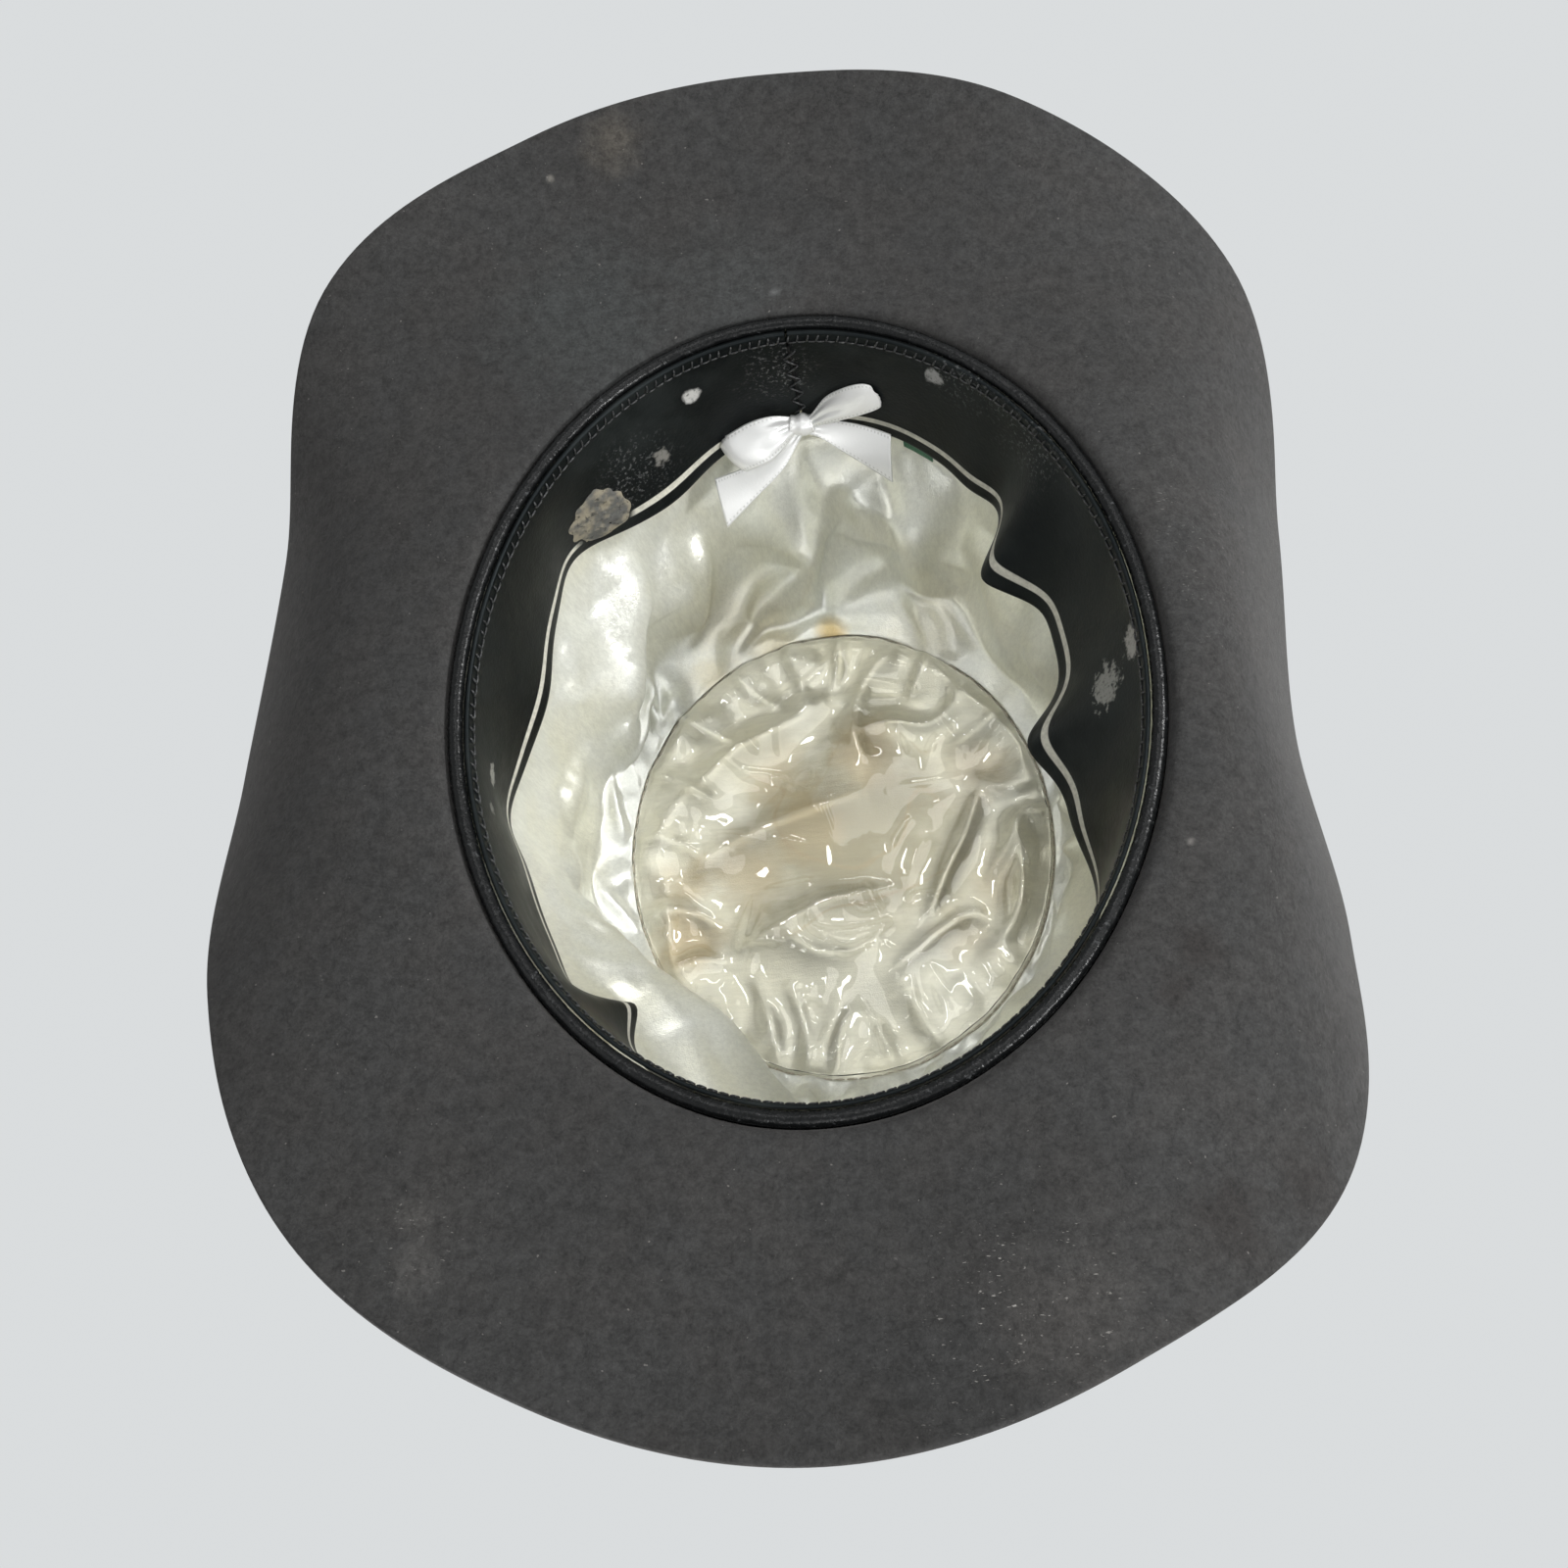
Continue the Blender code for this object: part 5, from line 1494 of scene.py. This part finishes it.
def build_tip(rows, angle, finish):
    """Oval of satin across the top of the lining, its edge tucked behind the side wall."""
    tucked = tip_point(angle, 1.0, -TIP_TUCK, -TIP_TUCK / 2)
    tucked[..., 2] = np.minimum(tucked[..., 2], crown_ceiling(tucked) - TIP_CREASE_GAP)
    rows = np.concatenate([rows, tucked[None]])
    item = grid_object("tip", rows, finish, wrap_columns=True, poles=(rows[0].mean(axis=0),))
    return thicken(item, SATIN_THICKNESS, 0)


def film_wrinkles():
    """Short wrinkles strewn over the film, most of them pointing at its seam, as lines for ridges."""
    dice = np.random.default_rng(SEED)
    lines = []
    for _ in range(FILM_WRINKLES):
        around = dice.uniform(0.0, TAU)
        middle = 1000 * tip_point(around, math.sqrt(dice.uniform(*WRINKLE_PLACES)))[:2]
        turn = around + dice.normal(0.0, WRINKLE_BEND)
        run = dice.uniform(*WRINKLE_HALF_LENGTHS) * np.array([math.cos(turn), math.sin(turn)])
        line = (middle - run, middle + dice.normal(0.0, WRINKLE_BEND, 2), middle + run)
        lines.append((line, dice.uniform(*WRINKLE_WIDTHS), dice.uniform(*WRINKLE_HEIGHTS)))
    return lines


def build_film(rows, angle, shares, finish):
    """Clear film sewn in with the tip: stiffer than satin, so it crumples into sharp creases."""
    swell = ripple(rows, FILM_SWELL_SCALE, 1.0, FILM_SWELL_SHIFT)
    crumple = FILM_CREASE_DEPTH * ridges(rows, FILM_CREASES) + ridges(rows, film_wrinkles())
    crumple += FILM_SWELL * (1 + swell)
    gather = (1 + np.cos(FILM_GATHERS * angle + FILM_GATHER_WANDER * swell)) / 2
    drop = SATIN_THICKNESS + FILM_CLEARANCE + crumple * smooth_step(*FILM_CREASES_FADE, shares)
    drop = drop + FILM_GATHER_DEPTH * gather * smooth_step(*FILM_GATHERS_GROW, shares)
    rows = rows - stack(0.0, 0.0, drop)
    rows[..., :2] *= 1 - FILM_MARGIN * shares[..., None]
    item = grid_object("film", rows, finish, wrap_columns=True, poles=(rows[0].mean(axis=0),))
    item.visible_shadow = False
    return thicken(item, SHIELD_THICKNESS, 0)


def build_tip_seam_thread(finish):
    """Stitches that sew the film and the tip to the side wall, along the seam."""
    spans = np.linspace(*STITCH_ENDS, STITCH_POINTS)
    paths = []
    for step in range(TIP_STITCHES):
        angle = (step + spans) * TAU / TIP_STITCHES
        path = tip_point(angle, 1.0, -TIP_SEAM_HALF_GAP / 2, SATIN_THICKNESS / 2)
        path[:, 2] -= tip_relief(tip_point(angle, 1.0), angle, 1.0)
        paths.append(path)
    return join_tubes("tip_stitches", paths, SEAM_THREAD_DIAMETER / 2, finish)


# Ribbon band outside the crown and its flat bow


def felt_outset(angle, height):
    """Distance of the outside of the crown wall beyond the head oval."""
    return FELT_THICKNESS - wall_inset(angle, height)


def on_ribbon(along, stand_off, height):
    """Point that stands off the outside ribbon on the wearer's left."""
    angle = np.asarray(along) / HEAD_HALF_LENGTH
    out = felt_outset(angle, np.asarray(height, float)) + GAP + RIBBON_THICKNESS + stand_off
    return oval(angle, -out, np.asarray(height, float))


def build_hat_band(finish):
    """Ribbon round the foot of the crown."""
    angle = turns(RIBBON_TURN_STEPS)
    levels = np.linspace(RIBBON_FOOT, RIBBON_FOOT + RIBBON_WIDTH, RIBBON_RISE_STEPS)
    rows = np.array([oval(angle, -felt_outset(angle, level) - GAP, level) for level in levels])
    waves = ripple(rows, RIBBON_RIPPLE_SCALE, RIBBON_RIPPLE)
    rows += grid_normals(rows, wrap_columns=True) * waves[..., None]
    rows = np.swapaxes(rows, 0, 1)
    along = oval_length(np.linspace(0, TAU, RIBBON_TURN_STEPS + 1))
    item = grid_object("outer_ribbon", rows, finish, wrap_rows=True, across=levels, along=along)
    return thicken(item, RIBBON_THICKNESS, 1)


def flat_bow_levels():
    back = GAP + FLAT_WRAP_WALL + GAP + FLAT_BOW_THICKNESS / 2
    return back, back + FLAT_BOW_THICKNESS + GAP


def build_band_bow(finish):
    """Closed loop of ribbon, flattened against the band and drawn in at its waist."""
    back, front = flat_bow_levels()
    waist = FLAT_WRAP_LENGTH / 2 + GAP
    reach = FLAT_BOW_HALF_LENGTH - waist
    full = FLAT_BOW_FULLNESS
    half = [
        (0.0, front),
        (waist, front),
        (waist + 0.25 * reach, front + 0.45 * full),
        (waist + 0.6 * reach, front + full),
        (waist + 0.93 * reach, front + 0.9 * full),
        (waist + reach, front + 0.45 * full),
        (waist + 0.93 * reach, back),
        (waist + 0.5 * reach, back),
        (waist, back),
        (0.0, back),
    ]
    loop = half + [(-along, level) for along, level in reversed(half[1:-1])]
    middle = RIBBON_FOOT + RIBBON_WIDTH / 2
    width = RIBBON_WIDTH - 2 * FLAT_BOW_MARGIN
    sides = np.linspace(-1, 1, FLAT_BOW_SIDE_STEPS)
    place = np.linspace(0, len(loop), FLAT_BOW_STEPS, endpoint=False)
    along, stand_off = curve_at(np.array(loop), place, "wrap").T[..., None]
    points = on_ribbon(along, stand_off, middle + sides * width / 2)
    length = run_length(points)
    length = np.append(length, 2 * length[-1] - length[-2])
    item = grid_object("flat_bow", points, finish, wrap_rows=True, across=sides, along=length)
    return thicken(item, BOW_RIBBON_THICKNESS, 0)


def build_band_bow_wrap(finish):
    """Short ribbon wrapped round the waist of the flat bow."""
    front = flat_bow_levels()[1] + FLAT_BOW_THICKNESS / 2 + GAP + FLAT_WRAP_WALL / 2
    near = GAP + FLAT_WRAP_WALL / 2
    half_height = RIBBON_WIDTH / 2 - FLAT_BOW_MARGIN + GAP + FLAT_WRAP_WALL / 2
    middle = (near + front) / 2
    rows = []
    sides = np.linspace(-1, 1, FLAT_WRAP_SIDE_STEPS)
    for turn in turns(FLAT_WRAP_STEPS):
        stand_off = middle + (front - near) / 2 * squared(math.sin(turn), FLAT_WRAP_POWER)
        height = RIBBON_FOOT + RIBBON_WIDTH / 2 + half_height * squared(math.cos(turn), FLAT_WRAP_POWER)
        rows.append(on_ribbon(sides * FLAT_WRAP_LENGTH / 2, stand_off, height))
    along = np.linspace(0, FLAT_WRAP_ROUND, len(rows) + 1)
    item = grid_object("flat_bow_wrap", np.array(rows), finish, wrap_rows=True, across=sides, along=along)
    return thicken(item, FLAT_WRAP_WALL, 0)


# Camera, light and floor


def build_camera():
    right = Vector(CAMERA_RIGHT)
    up = Vector(CAMERA_UP)
    towards = right.cross(up)
    turn = Matrix((right, up, towards)).transposed().to_4x4()
    data = bpy.data.cameras.new("camera")
    data.lens = CAMERA_LENS_MM
    data.sensor_width = CAMERA_SENSOR_MM
    data.clip_start = 0.01
    camera = bpy.data.objects.new("camera", data)
    camera.matrix_world = Matrix.Translation(CAMERA_PLACE) @ turn
    bpy.context.scene.collection.objects.link(camera)
    bpy.context.scene.camera = camera
    return right, up, towards


def build_lamp(name, place, size, power):
    data = bpy.data.lights.new(name, "AREA")
    data.shape = "ELLIPSE"
    data.size, data.size_y = size
    data.energy = power
    lamp = bpy.data.objects.new(name, data)
    lamp.location = place
    lamp.rotation_mode = "QUATERNION"
    lamp.rotation_quaternion = (Vector(LAMP_AIM) - Vector(place)).to_track_quat("-Z", "Y")
    lamp.visible_camera = False
    bpy.context.scene.collection.objects.link(lamp)


def build_light(right, up, towards):
    """Soft light from the viewer's side for the photo's view, and from above for the crown."""
    for name, (aside, above, nearer), size, power in VIEW_LAMPS:
        build_lamp(name, Vector(LAMP_AIM) + aside * right + above * up + nearer * towards, size, power)
    for name, place, size, power in TOP_LAMPS:
        build_lamp(name, place, size, power)
    world = bpy.data.worlds.new("world")
    bpy.context.scene.world = world
    world.use_nodes = True
    nodes = Nodes(world.node_tree)
    paint = world.node_tree.nodes["Background"]
    nodes.feed(paint.inputs["Color"], WORLD_COLOUR)
    nodes.feed(paint.inputs["Strength"], WORLD_STRENGTH)
    seen = nodes.add("Background", {"Color": BACKGROUND})
    rays = nodes.add("LightPath").outputs
    mirrored = nodes.math("MAXIMUM", rays["Is Glossy Ray"], rays["Is Transmission Ray"])
    either = nodes.math("MAXIMUM", rays["Is Camera Ray"], mirrored)
    nodes.show("World Output", either, paint.outputs[0], seen.outputs[0])


def build_floor(level):
    """Pale floor under the brim. It shows from above only, and lets the light from below through."""
    finish = Finish("floor", (0.80, 0.80, 0.80), 0.9)
    clear = finish.add("BsdfTransparent")
    side = finish.add("NewGeometry").outputs
    away = finish.add("VectorMath", {0: side["Position"]}, operation="LENGTH").outputs["Value"]
    hidden = finish.math("MAXIMUM", side["Backfacing"], finish.ramp(away, *FLOOR_FADE))
    finish.show("Material Output", hidden, finish.shader.outputs[0], clear.outputs[0])
    half = FLOOR_FADE[1]
    corners = [(-half, -half, level), (half, -half, level), (half, half, level), (-half, half, level)]
    floor = mesh_object("floor", corners, [(0, 1, 2, 3)], finish.material)
    floor.visible_shadow = False
    floor.visible_diffuse = False
    floor.visible_glossy = False
    floor.visible_transmission = False


def dress(piece, slot, *nodes):
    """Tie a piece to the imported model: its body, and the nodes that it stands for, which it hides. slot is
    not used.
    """
    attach(piece, "root")
    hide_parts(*nodes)
    return piece


def build_hat(frame):
    satin = satin_finish("lining_satin", (0.83, 0.84, 0.775), LINING_STAINS, LINING_FLOATS)
    # The tip's copy of the ivory satin has a darker, yellower base colour than the side wall: painted shade
    # of the tip deep in the crown
    shaded_tip_satin = satin_finish("shaded_tip_satin", (0.61, 0.60, 0.505), TIP_STAINS, TIP_FLOATS, 0.36, TIP_TIDE)
    ribbon = ribbon_finish()
    grosgrain = grosgrain_finish()
    black_thread = thread_finish("black_thread", (0.008, 0.0085, 0.009), (0.08, 0.083, 0.085), 0.45)
    ivory_thread = thread_finish("ivory_thread", (0.38, 0.34, 0.26), (0.58, 0.54, 0.44), 0.6)
    seam_tape = cloth_finish("seam_tape", (0.04, 0.04, 0.04), 0.8)
    label = cloth_finish("green_label", (0.045, 0.15, 0.085), 0.65)

    dress(build_felt(felt_finish()), "felt", "felt_body")
    dress(build_reed_tape(tape_finish()), "reed_tape", "reed_cover")
    band = dress(build_sweatband(leather_finish()), "black_leather", "sweatband")
    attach(build_crust(crust_finish()), "root")
    dress(build_reed_stitching(black_thread), "black_thread", "reed_stitching")
    tape = build_patch(
        "seam_tape", 0.0, SEAM_TAPE_WIDTH, SEAM_TAPE_FOOT, SEAM_TAPE_TOP, SEAM_TAPE_THICKNESS, seam_tape
    )
    dress(tape, "seam_tape", "back_seam_tape")
    dress(build_back_seam_thread(black_thread), "black_thread", "back_seam_thread")
    tag = build_patch("label", LABEL_ALONG, LABEL_WIDTH, LABEL_FOOT, LABEL_TOP, LABEL_THICKNESS, label)
    dress(tag, "green_label", "size_label")

    loops = dress(build_bow_loops(ribbon), "white_ribbon", "bow_loops")
    tails = dress(build_bow_tails(ribbon), "white_ribbon", "bow_tails")
    knot = dress(build_bow_knot(ribbon), "white_ribbon", "bow_knot")

    side = dress(build_lining_side(satin), "ivory_satin", "lining_side")
    tip_rows, tip_angle, tip_shares = tip_grid()
    tip = dress(build_tip(tip_rows, tip_angle, shaded_tip_satin), "ivory_satin", "lining_tip")
    film = dress(build_film(tip_rows, tip_angle, tip_shares, film_finish()), "clear_film", "tip_shield")
    dress(build_tip_seam_thread(ivory_thread), "ivory_thread", "tip_seam_thread")

    outer = dress(build_hat_band(grosgrain), "grosgrain", "hat_band")
    flat_bow = dress(build_band_bow(grosgrain), "grosgrain", "band_bow")
    wrap = dress(build_band_bow_wrap(grosgrain), "grosgrain", "band_bow_wrap")

    reed = Finish("reed_plastic", (0.55, 0.53, 0.48), 0.5)
    tone = reed.ramp(reed.noise(300.0, 3.0), 0.3, 0.7, 0.85, 1.1)
    reed.set("Base Color", reed.tint((0.55, 0.53, 0.48), tone))
    core = frame["nodes"]["reed_core"]
    core.data.materials.clear()
    core.data.materials.append(reed.material)


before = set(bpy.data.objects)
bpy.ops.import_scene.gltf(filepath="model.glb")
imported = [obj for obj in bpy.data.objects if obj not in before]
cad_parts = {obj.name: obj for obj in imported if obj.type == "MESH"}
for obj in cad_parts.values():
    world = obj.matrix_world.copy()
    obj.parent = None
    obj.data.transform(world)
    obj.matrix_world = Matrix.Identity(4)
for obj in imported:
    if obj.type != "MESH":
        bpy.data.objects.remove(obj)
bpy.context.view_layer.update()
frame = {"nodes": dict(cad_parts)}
bpy.context.scene.view_settings.view_transform = "Standard"
build_light(*build_camera())
build_floor(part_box("felt_body")[0][2])
build_hat(frame)
